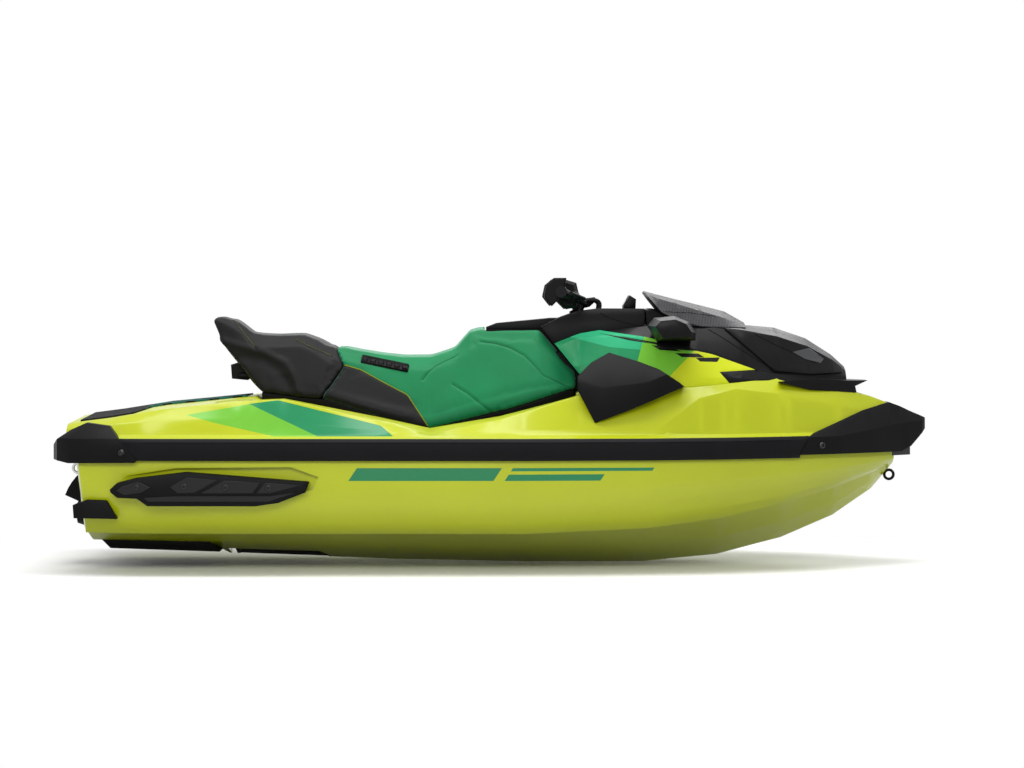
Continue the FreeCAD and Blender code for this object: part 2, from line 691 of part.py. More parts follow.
def pump_housing():
    outer = PUMP_BORE + PUMP_WALL
    outlet = OUTLET_BORE + NOZZLE_WALL
    profile = [
        (PUMP_FRONT_X, PUMP_BORE), (PUMP_FRONT_X, outer), (PUMP_REAR_X, outer), (CONE_REAR_X, outlet),
        (CONE_REAR_X, OUTLET_BORE), (PUMP_REAR_X, PUMP_BORE),
    ]
    shell = Part.Face(wire([(x, 0, PUMP_Z + r) for x, r in profile]))
    housing = shell.revolve(Vector(0, 0, PUMP_Z), Vector(1, 0, 0), 360)
    hub_front = IMPELLER_X - BLADE_LENGTH / 2 - RUN_GAP
    hub_length = hub_front - CONE_REAR_X - OVERRUN
    nose = Vector(hub_front, 0, PUMP_Z)
    hub = Part.makeCone(HUB_RADIUS, HUB_RADIUS / 3, hub_length, nose, Vector(-1, 0, 0))
    vane = twisted_blade(
        PUMP_REAR_X, hub_front - VANE_THICKNESS, HUB_RADIUS / 2, PUMP_BORE + PUMP_WALL / 2,
        VANE_THICKNESS, -VANE_TWIST_DEG
    )
    vanes = around_shaft(vane, VANE_COUNT)
    mouth = Vector(PUMP_FRONT_X, 0, PUMP_Z)
    flange = Part.makeCylinder(TUNNEL_HALF - TIGHT_GAP, PUMP_WALL * 2, mouth, Vector(-1, 0, 0))
    flange = flange.cut(Part.makeCylinder(PUMP_BORE, OVERRUN, mouth, Vector(-1, 0, 0)))
    side = TUNNEL_TOP - PUMP_Z
    trim = block(PUMP_REAR_X, PUMP_FRONT_X, -TUNNEL_HALF, TUNNEL_HALF, PUMP_Z - side, PUMP_Z + side)
    flange = flange.common(trim)
    ears = nozzle_ears()
    bosses = bucket_bosses()
    return housing.fuse([hub, flange] + vanes + ears + bosses)


def nozzle_ears():
    ears = []
    inner = NOZZLE_BORE + NOZZLE_WALL + TIGHT_GAP
    front = CONE_REAR_X + OVERRUN
    for side in (-1, 1):
        profile = [
            (NOZZLE_PIVOT_X - NOZZLE_PIN * 2, PUMP_Z + side * inner),
            (NOZZLE_PIVOT_X - NOZZLE_PIN * 2, PUMP_Z + side * (inner + EAR_HEIGHT)),
            (front, PUMP_Z + side * (inner + EAR_HEIGHT)),
            (front + OVERRUN, PUMP_Z + side * PUMP_BORE),
            (front + OVERRUN, PUMP_Z + side * OUTLET_BORE * 1.5),
            (front - RUN_GAP, PUMP_Z + side * OUTLET_BORE * 1.3),
            (front - RUN_GAP, PUMP_Z + side * inner),
        ]
        ear = side_prism(profile, -NOZZLE_PIN * 2, NOZZLE_PIN * 2)
        bore_low = Vector(NOZZLE_PIVOT_X, 0, PUMP_Z + side * inner - EAR_HEIGHT * 1.5)
        bore = Part.makeCylinder(NOZZLE_PIN, EAR_HEIGHT * 3, bore_low)
        ears.append(ear.cut(bore))
    return ears


def bucket_bosses():
    bosses = []
    for side in (-1, 1):
        start = Vector(BUCKET_PIVOT_X, side * (OUTLET_BORE + PUMP_WALL * 2), PUMP_Z)
        end = Vector(BUCKET_PIVOT_X, side * (BUCKET_HALF - BUCKET_ARM - TIGHT_GAP), PUMP_Z)
        pin_end = Vector(BUCKET_PIVOT_X, side * BUCKET_HALF, PUMP_Z)
        bosses.append(rod(start, end, BUCKET_PIN * 1.8).fuse(rod(start, pin_end, BUCKET_PIN - REST_GAP)))
    return bosses


def impeller():
    front = IMPELLER_X + BLADE_LENGTH / 2
    rear = IMPELLER_X - BLADE_LENGTH / 2
    hub = Part.makeCylinder(HUB_RADIUS, BLADE_LENGTH, Vector(rear, 0, PUMP_Z), Vector(1, 0, 0))
    nose = Part.makeCone(HUB_RADIUS, SHAFT_RADIUS, HUB_RADIUS, Vector(front, 0, PUMP_Z), Vector(1, 0, 0))
    shaft = rod(Vector(front, 0, PUMP_Z), Vector(SHAFT_FRONT_X, 0, PUMP_Z), SHAFT_RADIUS)
    tip = PUMP_BORE - TIGHT_GAP
    blade = twisted_blade(rear, front, HUB_RADIUS / 2, PUMP_BORE, BLADE_THICKNESS, BLADE_TWIST_DEG)
    blade = blade.common(Part.makeCylinder(tip, front - rear, Vector(rear, 0, PUMP_Z), Vector(1, 0, 0)))
    return hub.fuse([nose, shaft] + around_shaft(blade, BLADE_COUNT))


def around_shaft(shape, count):
    copies = [shape.copy() for _ in range(count)]
    for i, copy in enumerate(copies):
        copy.rotate(Vector(0, 0, PUMP_Z), Vector(1, 0, 0), i * 360 / count)
    return copies


def twisted_blade(rear, front, inner, outer, thickness, twist_deg):
    half = thickness / 2
    sections = []
    for i in range(TWIST_STEPS + 1):
        part = i / TWIST_STEPS
        angle = math.radians(twist_deg * (part - 1 / 2))
        x = rear + (front - rear) * part
        corners = [(-half, inner), (half, inner), (half, outer), (-half, outer)]
        sections.append([
            (
                x,
                across * math.cos(angle) - radius * math.sin(angle),
                PUMP_Z + across * math.sin(angle) + radius * math.cos(angle),
            )
            for across, radius in corners
        ])
    return loft(sections)


def steering_nozzle():
    outer = NOZZLE_BORE + NOZZLE_WALL
    rear = NOZZLE_PIVOT_X - NOZZLE_REACH
    front = NOZZLE_PIVOT_X + NOZZLE_FRONT
    exit_bore = OUTLET_BORE - NOZZLE_WALL
    profile = [
        (front, NOZZLE_BORE + NOZZLE_WALL / 2), (front, outer), (NOZZLE_PIVOT_X - NOZZLE_FRONT, outer),
        (rear, exit_bore + NOZZLE_WALL), (rear, exit_bore), (NOZZLE_PIVOT_X - NOZZLE_FRONT, NOZZLE_BORE),
    ]
    shell = Part.Face(wire([(x, 0, PUMP_Z + r) for x, r in profile]))
    nozzle = shell.revolve(Vector(0, 0, PUMP_Z), Vector(1, 0, 0), 360)
    pins = []
    for side in (-1, 1):
        start = Vector(NOZZLE_PIVOT_X, 0, PUMP_Z + side * (outer - NOZZLE_WALL / 2))
        end = Vector(NOZZLE_PIVOT_X, 0, PUMP_Z + side * (outer + TIGHT_GAP + EAR_HEIGHT))
        pins.append(rod(start, end, NOZZLE_PIN - REST_GAP))
    return nozzle.fuse(pins)


def bucket_point(radius, angle_deg):
    angle = math.radians(angle_deg)
    return (BUCKET_PIVOT_X - radius * math.cos(angle), PUMP_Z + radius * math.sin(angle))


def reverse_bucket():
    step = (BUCKET_TO_DEG - BUCKET_FROM_DEG) / BUCKET_STEPS
    angles = [BUCKET_FROM_DEG + i * step for i in range(BUCKET_STEPS + 1)]
    outer = [bucket_point(BUCKET_RADIUS + BUCKET_WALL, a) for a in angles]
    inner = [bucket_point(BUCKET_RADIUS, a) for a in reversed(angles)]
    shell = side_prism(outer + inner, -BUCKET_HALF, BUCKET_HALF)
    cheek = outer + [(BUCKET_PIVOT_X + BUCKET_PIN * 2, PUMP_Z), (BUCKET_PIVOT_X, PUMP_Z - BUCKET_PIN * 2)]
    arms = []
    for side in (-1, 1):
        low = min(side * BUCKET_HALF, side * (BUCKET_HALF - BUCKET_ARM))
        arm = side_prism(cheek, low, low + BUCKET_ARM)
        bore_start = Vector(BUCKET_PIVOT_X, low - OVERRUN, PUMP_Z)
        bore_end = Vector(BUCKET_PIVOT_X, low + OVERRUN, PUMP_Z)
        arms.append(arm.cut(rod(bore_start, bore_end, BUCKET_PIN)))
    return shell.fuse(arms)


def engine_block():
    return block(
        ENGINE_REAR_X, ENGINE_REAR_X + ENGINE_LENGTH, -ENGINE_HALF, ENGINE_HALF, BAY_FLOOR, ENGINE_TOP
    )


def deck():
    form = deck_form()
    rear = block(-2 * HALF_LENGTH, DECK_REAR_X, -HALF_HULL, HALF_HULL, 0, SCREEN_HEIGHT)
    seat_rows = pan_rows() + RIDER_SEAT_SHARES[-1:]
    seat_line = [(row[0] * HALF_LENGTH, row[5] * SCREEN_HEIGHT - PAN_HEIGHT - REST_GAP) for row in seat_rows]
    rear_top = (seat_line[0][0] - PAN_HEIGHT * 3, seat_line[0][1] + PAN_HEIGHT * 2)
    seat_room = seat_line + [(seat_line[-1][0], SCREEN_HEIGHT), (rear_top[0], SCREEN_HEIGHT), rear_top]
    seat_room = side_prism(seat_room, -WELL_INNER, WELL_INNER)
    tubs = [tub_block(), mirrored(tub_block())]
    wells = [well_space(), mirrored(well_space())]
    bin_hole = plan_prism(bin_outline(BIN_WALL), BIN_FLOOR - BIN_WALL, SCREEN_HEIGHT)
    return form.fuse(tubs).cut([rear, seat_room, bay_space(), bin_hole] + wells)


def rail(side):
    front = BOW_BUMPER_SHARES[2][0]
    rear = STERN_BUMPER_SHARES[5][0]
    shares = sorted({rear, front} | {row[0] for row in OUTLINE_SHARES if rear < row[0] < front})
    sections = []
    for share in shares:
        y = outline_y(share)
        x = share * HALF_LENGTH
        out = y + RAIL_THICKNESS
        half = [
            (y, RAIL_LOW), (out - RAIL_CHAMFER / 2, RAIL_LOW), (out, RAIL_LOW + RAIL_CHAMFER),
            (out, RAIL_HIGH - RAIL_CHAMFER), (out - RAIL_CHAMFER, RAIL_HIGH), (y, RAIL_HIGH),
        ]
        sections.append([(x, side * y_point, z) for y_point, z in half])
    return largest(loft(sections).cut([bumper_side(BOW_BUMPER_SHARES), bumper_side(STERN_BUMPER_SHARES)]))


def bumper_side(shares):
    reach = HALF_HULL + BUMPER_STAND + OVERRUN
    return side_prism(xz(shares, DECK_HEIGHT), -reach, reach)


def bow_bumper(carriers):
    sections = []
    for row in BOW_STATION_SHARES:
        x = row[0] * HALF_LENGTH
        low = row[1] * DECK_HEIGHT
        bends = [(row[i] * HALF_HULL, row[i + 1] * DECK_HEIGHT) for i in (2, 4)]
        half = [(0, low), (row[2] * HALF_HULL, low)] + bends + [(0, row[5] * DECK_HEIGHT)]
        sections.append(section(x, half))
    return largest(loft(sections).common(bumper_side(BOW_BUMPER_SHARES)).cut(carriers))


def stern_bumper(carriers):
    plan = [(x * HALF_LENGTH, -y * HALF_HULL) for x, y in STERN_PLAN_SHARES]
    plan[0] = (plan[0][0], -outline_y(STERN_PLAN_SHARES[0][0]) - BUMPER_STAND)
    band = plan_prism(plan, SEAM_HEIGHT / 2, RAIL_HIGH)
    shoulder = loft([
        [(x, y, RAIL_HIGH) for x, y in plan],
        [(x + BUMPER_INSET, y + BUMPER_INSET, RAIL_HIGH + BUMPER_RISE) for x, y in plan],
    ])
    return largest(band.fuse(shoulder).common(bumper_side(STERN_BUMPER_SHARES)).cut(carriers))


def sponson(hull_solid):
    profile = xz(SPONSON_SHARES, KEEL_DEPTH)
    mid_x = sum(x for x, z in profile) / len(profile)
    mid_z = sum(z for x, z in profile) / len(profile)
    bevel = SPONSON_BEVEL_SHARE
    outer = [(mid_x + (x - mid_x) * (1 + bevel) / 2, mid_z + (z - mid_z) * bevel) for x, z in profile]
    plate = loft([
        [(x, -SPONSON_INNER, z) for x, z in profile],
        [(x, -SPONSON_OUTER + SPONSON_BEVEL, z) for x, z in profile],
        [(x, -SPONSON_OUTER, z) for x, z in outer],
    ])
    return largest(plate.cut(hull_solid))


def corner_guard(hull_solid):
    profile = xz(CORNER_GUARD_SHARES, KEEL_DEPTH)
    return largest(side_prism(profile, -GUARD_OUTER, -GUARD_INNER).cut(hull_solid))


def largest(shape):
    return max(shape.Solids, key=lambda solid: solid.Volume)


def traction_mats(deck_solid, corners):
    raised = deck_solid.copy()
    raised.translate(Vector(0, 0, MAT_THICKNESS))
    skin = raised.cut([deck_solid] + corners)
    half = [(STERN_MAT_REAR_X, STERN_MAT_HALF), (STERN_MAT_FRONT_X, STERN_MAT_HALF)]
    half += [(STERN_MAT_FRONT_X + OVERRUN, STERN_STRIP_HALF), (STERN_STRIP_FRONT_X, STERN_STRIP_HALF)]
    stern = plan_prism(both_sides(half), SEAM_HEIGHT, SCREEN_HEIGHT)
    floor_rear = FOOTWELL_SHARES[2][0] * HALF_LENGTH - OVERRUN * 2
    floor_front = FOOTWELL_SHARES[3][0] * HALF_LENGTH + MAT_MARGIN
    well_outer = WELL_OUTER - MAT_MARGIN * 3
    well = block(floor_rear, floor_front, WELL_INNER + MAT_MARGIN, well_outer, 0, SEAM_HEIGHT)
    return [largest(skin.common(region)) for region in (stern, well, mirrored(well))]


def behind_joint(gap):
    joint = [(x + gap, z) for x, z in xz(SEAT_JOINT_SHARES, SCREEN_HEIGHT)]
    profile = [(-HALF_LENGTH, joint[-1][1]), (-HALF_LENGTH, joint[0][1])] + joint
    return side_prism(profile, -HALF_HULL, HALF_HULL)


def box_room():
    side = BOX_HALF + RUN_GAP
    return block(BOX_REAR_X - RUN_GAP, HALF_LENGTH, -side, side, 0, SCREEN_HEIGHT)


def whole_seat():
    return seat_form(PASSENGER_SEAT_SHARES + RIDER_SEAT_SHARES)


def rider_seat():
    return largest(whole_seat().cut([behind_joint(REST_GAP), box_room()]))


def passenger_seat():
    return largest(whole_seat().common(behind_joint(0)))


def pan_rows():
    front = at_x(RIDER_SEAT_SHARES, RIDER_SEAT_SHARES[-1][0] - PAN_INSET / HALF_LENGTH)
    return sorted(RIDER_SEAT_SHARES[:-1] + PASSENGER_SEAT_SHARES[4:] + [front])


def seat_pan():
    sections = []
    for row in pan_rows():
        foot = row[5] * SCREEN_HEIGHT
        top = [(0, foot), (row[4] * HALF_HULL - PAN_INSET, foot)]
        low = [(row[4] * HALF_HULL - PAN_INSET * 2, foot - PAN_HEIGHT), (0, foot - PAN_HEIGHT)]
        sections.append(section(row[0] * HALF_LENGTH, top + low))
    return loft(sections).cut([box_room(), rider_seat(), passenger_seat()])


def grab_handle(seat):
    bend = HANDLE_RADIUS * 2
    half = [
        Vector(HANDLE_X + HANDLE_REACH, -HANDLE_HALF, HANDLE_Z),
        Vector(HANDLE_X + bend, -HANDLE_HALF, HANDLE_Z),
        Vector(HANDLE_X, -HANDLE_HALF + bend, HANDLE_Z),
    ]
    points = half + [Vector(point.x, -point.y, point.z) for point in reversed(half)]
    return largest(bent_rod(points, HANDLE_RADIUS).cut(seat))


def glove_box():
    top = LID_HINGE_Z - LID_THICKNESS
    outer = block(BOX_REAR_X, BOX_FRONT_X, -BOX_HALF, BOX_HALF, BOX_FLOOR, top)
    inner = BOX_HALF - BOX_WALL
    rear = BOX_REAR_X + BOX_WALL
    front = BOX_FRONT_X - BOX_WALL * 3
    return outer.cut(block(rear, front, -inner, inner, BOX_FLOOR + BOX_WALL, top + OVERRUN))


def glovebox_lid():
    low = LID_HINGE_Z - LID_THICKNESS + REST_GAP
    crown = LID_HINGE_Z + LID_CROWN
    profile = [
        (BOX_REAR_X, low), (BOX_REAR_X, low + LID_THICKNESS / 2),
        (BOX_REAR_X + OVERRUN, LID_HINGE_Z + LID_THICKNESS / 2),
        (LID_HINGE_X - OVERRUN, crown), (LID_HINGE_X - RUN_GAP, crown),
        (LID_HINGE_X, LID_HINGE_Z), (LID_HINGE_X, low),
    ]
    return side_prism(profile, -BOX_HALF, BOX_HALF)


def behind_seat_front():
    (x_high, z_high), (x_low, z_low) = xz(SEAT_FRONT_SHARES, SCREEN_HEIGHT)
    slope = (x_low - x_high) / (z_high - z_low)
    gap = RUN_GAP * 1.3
    top = SCREEN_HEIGHT
    return side_prism([
        (0, BODY_BASE_SHARE * SCREEN_HEIGHT - OVERRUN),
        (x_low + slope * OVERRUN * 2 + gap, z_low - OVERRUN * 2),
        (x_high + slope * (z_high - top) + gap, top),
        (0, top),
    ], -HALF_HULL, HALF_HULL)


def bin_body():
    top = HOOD_SEAM_SHARES[2][1] * SCREEN_HEIGHT
    outer = plan_prism(bin_outline(0), BIN_FLOOR, top)
    floor_block = plan_prism(bin_outline(BIN_WALL), BIN_FLOOR - BIN_WALL, top)
    return floor_block.cut(outer)


def under_hood():
    seam = xz(HOOD_SEAM_SHARES, SCREEN_HEIGHT)
    return side_prism(seam + [(seam[-1][0], 0), (seam[0][0], 0)], -HALF_HULL, HALF_HULL)


def over_hood_seam(gap):
    seam = [(x, z + gap) for x, z in xz(HOOD_SEAM_SHARES, SCREEN_HEIGHT)]
    seam = [(HOOD_REAR_X + gap, seam[1][1])] + seam[2:]
    return above(seam, SCREEN_HEIGHT * 1.2)


def front_body(deck_solid):
    inner = body_form(PANEL_THICKNESS)
    room = column_room(REST_GAP)
    bin_hole = plan_prism(bin_outline(BIN_WALL), 0, SCREEN_HEIGHT)
    hood_room = over_hood_seam(0).fuse(block(HOOD_REAR_X - RUN_GAP, HALF_LENGTH, -HALF_HULL, HALF_HULL,
                                             HOOD_SEAM_SHARES[1][1] * SCREEN_HEIGHT, SCREEN_HEIGHT))
    box_room = block(0, BOX_FRONT_X, -BOX_HALF, BOX_HALF, BOX_FLOOR - OVERRUN, SCREEN_HEIGHT)
    solid = inner.cut([deck_solid, bin_hole, hood_room, behind_seat_front(), box_room, room])
    return largest(solid)


def console_fairing(deck_solid, body):
    shell = body_form(0).cut(body_form(PANEL_THICKNESS))
    region = side_prism(xz(FAIRING_SHARES, SCREEN_HEIGHT), -HALF_HULL, -BIN_HALF * 0.8)
    hood_room = over_hood_seam(0)
    solid = shell.common(region).cut([deck_solid, body, hood_room, behind_seat_front()])
    return largest(solid)


def storage_bin():
    return bin_body().common(under_hood())


def hood_panels():
    profile = xz(HOOD_PANEL_SHARES, SCREEN_HEIGHT)
    raised = body_form(-HOOD_PANEL_RISE).common(side_prism(profile, -HALF_HULL, HALF_HULL))
    middle = block(HOOD_REAR_X, HALF_LENGTH, -HOOD_PANEL_INNER, HOOD_PANEL_INNER, 0, SCREEN_HEIGHT)
    return raised.cut(middle)


def hood():
    outer = body_form(0).fuse(hood_panels()).common(over_hood_seam(REST_GAP))
    inner = body_form(HOOD_WALL).common(over_hood_seam(-OVERRUN))
    room = block(
        HOOD_REAR_X + HOOD_WALL, HOOD_HINGE_X - HOOD_WALL * 2, -HALF_HULL, HALF_HULL, 0, SCREEN_HEIGHT * 1.2
    )
    return largest(outer.cut(inner.common(room)))


def windshield(hood_solid):
    shell = screen_form(0).cut(screen_form(SCREEN_THICKNESS))
    edge = xz(SCREEN_EDGE_SHARES, SCREEN_HEIGHT)
    corners = [(edge[-1][0], 0), (0, 0), (0, SCREEN_HEIGHT), (edge[0][0], SCREEN_HEIGHT)]
    return largest(shell.cut([hood_solid, body_form(0), side_prism(edge + corners, -HALF_HULL, HALF_HULL)]))


def console_room():
    behind = block(0, HOOD_REAR_X + RUN_GAP, -HALF_HULL, HALF_HULL, 0, SCREEN_HEIGHT)
    return body_form(-RUN_GAP).common(behind)


def mirror(hood_solid, screen):
    profile = xz(MIRROR_SHARES, SCREEN_HEIGHT)
    mid_x = sum(x for x, z in profile) / len(profile)
    mid_z = sum(z for x, z in profile) / len(profile)
    small = [
        (mid_x + (x - mid_x) * MIRROR_END_SHARE, mid_z + (z - mid_z) * MIRROR_END_SHARE) for x, z in profile
    ]
    housing = loft([
        [(x, -MIRROR_INNER, z) for x, z in small],
        [(x, -(MIRROR_INNER + MIRROR_OUTER) / 2, z) for x, z in profile],
        [(x, -MIRROR_OUTER, z) for x, z in small],
    ])
    return largest(housing.cut([hood_solid, screen, console_room()]))


def knee_pod(carriers):
    profile = xz(KNEE_POD_SHARES, SCREEN_HEIGHT)
    plan = [(x * HALF_LENGTH, -y * HALF_HULL) for x, y in KNEE_POD_PLAN_SHARES]
    crown = [(-y * HALF_HULL, z * SCREEN_HEIGHT) for y, z in KNEE_POD_CROWN_SHARES]
    wing = side_prism(profile, -HALF_HULL, 0).common(plan_prism(plan, 0, SCREEN_HEIGHT))
    wing = wing.common(cross_prism(crown, 0, HALF_LENGTH))
    return largest(wing.cut(carriers))


def column_direction():
    tilt = math.radians(COLUMN_TILT_DEG)
    return Vector(-math.sin(tilt), 0, math.cos(tilt))


def column_room(gap):
    centre = Vector(COLUMN_X, 0, COLUMN_Z)
    low = centre - column_direction() * (COLUMN_DROP + RUN_GAP)
    high = centre + column_direction() * COLUMN_DROP
    return rod(low, high, COLUMN_RADIUS + gap)


def swing_room():
    centre = Vector(COLUMN_X, 0, COLUMN_Z)
    low = centre - column_direction() * TIGHT_GAP
    return rod(low, centre + column_direction() * COLUMN_DROP, SWING_RADIUS)


def steering_cover(body, fairings):
    profile = xz(COVER_SHARES, SCREEN_HEIGHT)
    half = [(COVER_HALF, body_share(0)), (COVER_SHOULDER_HALF, COLUMN_Z), (COVER_TOP_HALF, SCREEN_HEIGHT)]
    other = [(-y, z) for y, z in reversed(half)]
    trim = cross_prism(half + other, 0, HALF_LENGTH)
    solid = side_prism(profile, -HALF_HULL, HALF_HULL).common(trim)
    side = BOX_HALF + RUN_GAP
    lid_room = block(0, LID_HINGE_X + LID_CROWN + RUN_GAP, -side, side, 0, SCREEN_HEIGHT)
    rooms = [column_room(RUN_GAP), swing_room(), lid_room, behind_seat_front()]
    return largest(solid.cut([body] + rooms + fairings))


def body_share(index):
    return BODY_SHARES[index][6] * HALF_HULL + BODY_BASE_SHARE * SCREEN_HEIGHT


def bar_points(side):
    return [
        Vector(COLUMN_X + BAR_RADIUS * 3, 0, COLUMN_Z + BAR_RADIUS * 3.4),
        Vector(COLUMN_X + BAR_RADIUS * 2, side * BAR_BEND, COLUMN_Z + BAR_RADIUS * 4),
        Vector(COLUMN_X - BAR_SWEEP, side * BAR_HALF, COLUMN_Z + BAR_RISE),
    ]


def handlebar():
    centre = Vector(COLUMN_X, 0, COLUMN_Z)
    stem_low = centre - column_direction() * COLUMN_DROP
    stem = rod(stem_low, centre + column_direction() * BAR_RADIUS * 2, COLUMN_RADIUS)
    bars = [bent_rod(bar_points(side), BAR_RADIUS) for side in (-1, 1)]
    pad_profile = [(COLUMN_X + x * BAR_RADIUS, COLUMN_Z + z * BAR_RADIUS) for x, z in BAR_PAD_SHARES]
    pad = side_prism(pad_profile, -PAD_HALF, PAD_HALF)
    return stem.fuse(bars + [pad])


def grip_line(side):
    points = bar_points(side)
    outward = points[2] - points[1]
    outward.normalize()
    end = points[2] + outward * BAR_RADIUS
    return end, end - outward * GRIP_LENGTH, outward


def grip(side):
    end, start, outward = grip_line(side)
    body = rod(start, end, GRIP_RADIUS)
    flange = rod(start, start + outward * BAR_RADIUS, GRIP_RADIUS * 1.4)
    cap = rod(end - outward * BAR_RADIUS, end, GRIP_RADIUS * 1.25)
    return body.fuse([flange, cap]).cut(handlebar())


def lever(side):
    end, start, outward = grip_line(side)
    clamp = rod(start - outward * GRIP_LENGTH * 0.35, start - outward * TIGHT_GAP, GRIP_RADIUS * 1.5)
    forward = Vector(LEVER_REACH, 0, -LEVER_RADIUS)
    root = start - outward * GRIP_LENGTH * 0.17
    blade = bent_rod([root, root + forward, end + forward * 0.8], LEVER_RADIUS)
    return largest(clamp.fuse([blade, control_housing(side)]).cut([handlebar(), grip(side)]))


def control_housing(side):
    end, start, outward = grip_line(side)
    middle = start - outward * GRIP_LENGTH / 4
    sections = []
    for along, share in ((-1, HOUSING_END_SHARE), (0, 1), (1, HOUSING_END_SHARE)):
        centre = middle + outward * (along * GRIP_LENGTH / 5)
        size = GRIP_RADIUS * share
        sections.append([(centre.x + x * size, centre.y, centre.z + z * size) for x, z in HOUSING_SHARES])
    return loft(sections)


def display(cover):
    z = COVER_SHARES[4][1] * SCREEN_HEIGHT
    x = COVER_SHARES[4][0] * HALF_LENGTH
    profile = [(x + across * DISPLAY_HEIGHT, z + up * DISPLAY_HEIGHT) for across, up in DISPLAY_SHARES]
    return largest(side_prism(profile, -BOX_HALF, BOX_HALF).cut(cover))


def ring_eye(x, y, z, carriers):
    rim = EYE_RADIUS + EYE_WIRE
    land = EYE_LAND / 2
    half = [(EYE_BORE, land), (EYE_RADIUS - land / 2, EYE_WIRE)]
    half += [(EYE_RADIUS + land / 2, EYE_WIRE), (rim, land / 2)]
    ring = half + [(radius, -across) for radius, across in reversed(half)]
    face = Part.Face(wire([(x + radius, y + across, z) for radius, across in ring]))
    return largest(face.revolve(Vector(x, y, z), Vector(0, 1, 0), 360).cut(carriers))


def stern_eyes(carriers):
    x = TRANSOM_TOP_X - EYE_RADIUS / 2
    starboard = ring_eye(x, -STERN_EYE_Y, STERN_EYE_Z, carriers)
    return [starboard, mirrored(starboard)]


def bow_blade(carriers):
    profile = xz(BOW_BLADE_SHARES, DECK_HEIGHT)
    outline = []
    for share in (BOW_BLADE_SHARES[4][0], BOW_BLADE_SHARES[1][0]):
        outline.append((share * HALF_LENGTH, at_x(BODY_SHARES, share)[1] * HALF_HULL + BUMPER_STAND))
    outline.append((BOW_BLADE_SHARES[0][0] * HALF_LENGTH, BUMPER_STAND * 2))
    shelf = plan_prism(both_sides(outline), 0, SCREEN_HEIGHT)
    blade = side_prism(profile, -HALF_HULL, HALF_HULL).common(shelf)
    skin = body_form(0).cut([body_form(PANEL_THICKNESS), over_hood_seam(0)])
    nose = block(FAIRING_SHARES[7][0] * HALF_LENGTH, HALF_LENGTH, -HALF_HULL, HALF_HULL, 0, SCREEN_HEIGHT)
    return largest(blade.fuse(skin.common(nose)).cut(carriers))


def export(name, shape):
    solids = shape if isinstance(shape, list) else [shape]
    solids = [solid for item in solids for solid in item.Solids]
    result = solids[0] if len(solids) == 1 else Part.makeCompound(solids)
    result.exportStep("parts/" + name + ".step")
    volume = sum(solid.Volume for solid in solids)
    valid = all(solid.isValid() for solid in solids)
    print(f"{name:28s} solids {len(solids)} litres {volume / 1e6:9.3f} valid {valid}")


def main():
    os.makedirs("parts", exist_ok=True)
    hull_solid = hull()
    deck_solid = deck()
    shells = [hull_solid, deck_solid]
    export("hull", hull_solid)
    export("deck", deck_solid)
    export("rail_port", rail(1))
    export("rail_starboard", rail(-1))
    export("bow_bumper", bow_bumper(shells + [rail(1), rail(-1)]))
    corner = stern_bumper(shells + [rail(-1)])
    export("stern_bumper_starboard", corner)
    export("stern_bumper_port", mirrored(corner))
    chine_plate = sponson(hull_solid)
    export("sponson_starboard", chine_plate)
    export("sponson_port", mirrored(chine_plate))
    guard = corner_guard(hull_solid)
    export("corner_guard_starboard", guard)
    export("corner_guard_port", mirrored(guard))
    export("ride_plate", ride_plate())
    export("intake_grate", intake_grate())
    export("pump_housing", pump_housing())
    export("impeller", impeller())
    export("steering_nozzle", steering_nozzle())
    export("reverse_bucket", reverse_bucket())
    export("engine_block", engine_block())
    export("traction_mats", traction_mats(deck_solid, [corner, mirrored(corner)]))
    export("rider_seat", rider_seat())
    tail = passenger_seat()
    export("passenger_seat", tail)
    export("seat_pan", seat_pan())
    export("grab_handle", grab_handle(tail))
    export("glove_box", glove_box())
    export("glovebox_lid", glovebox_lid())
    body = front_body(deck_solid)
    export("front_body", body)
    export("storage_bin", storage_bin())
    fairing = console_fairing(deck_solid, body)
    export("console_fairing_starboard", fairing)
    export("console_fairing_port", mirrored(fairing))
    hood_solid = hood()
    export("hood", hood_solid)
    screen = windshield(hood_solid)
    export("windshield", screen)
    pod = mirror(hood_solid, screen)
    export("mirror_starboard", pod)
    export("mirror_port", mirrored(pod))
    knee = knee_pod(shells + [body, fairing, rail(-1)])
    export("knee_pod_starboard", knee)
    export("knee_pod_port", mirrored(knee))
    cover = steering_cover(body, [fairing, mirrored(fairing)])
    export("steering_cover", cover)
    export("display", display(cover))
    export("handlebar", handlebar())
    for side, name in ((-1, "starboard"), (1, "port")):
        export("grip_" + name, grip(side))
        export("lever_" + name, lever(side))
    export("bow_eye", ring_eye(BOW_EYE_X, 0, BOW_EYE_Z, [hull_solid]))
    export("stern_eyes", stern_eyes(shells))
    export("bow_blade", bow_blade([deck_solid, body, hood_solid, fairing, mirrored(fairing)]))


main()
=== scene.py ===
import math

import bmesh
import bpy
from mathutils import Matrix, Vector
from mathutils.bvhtree import BVHTree


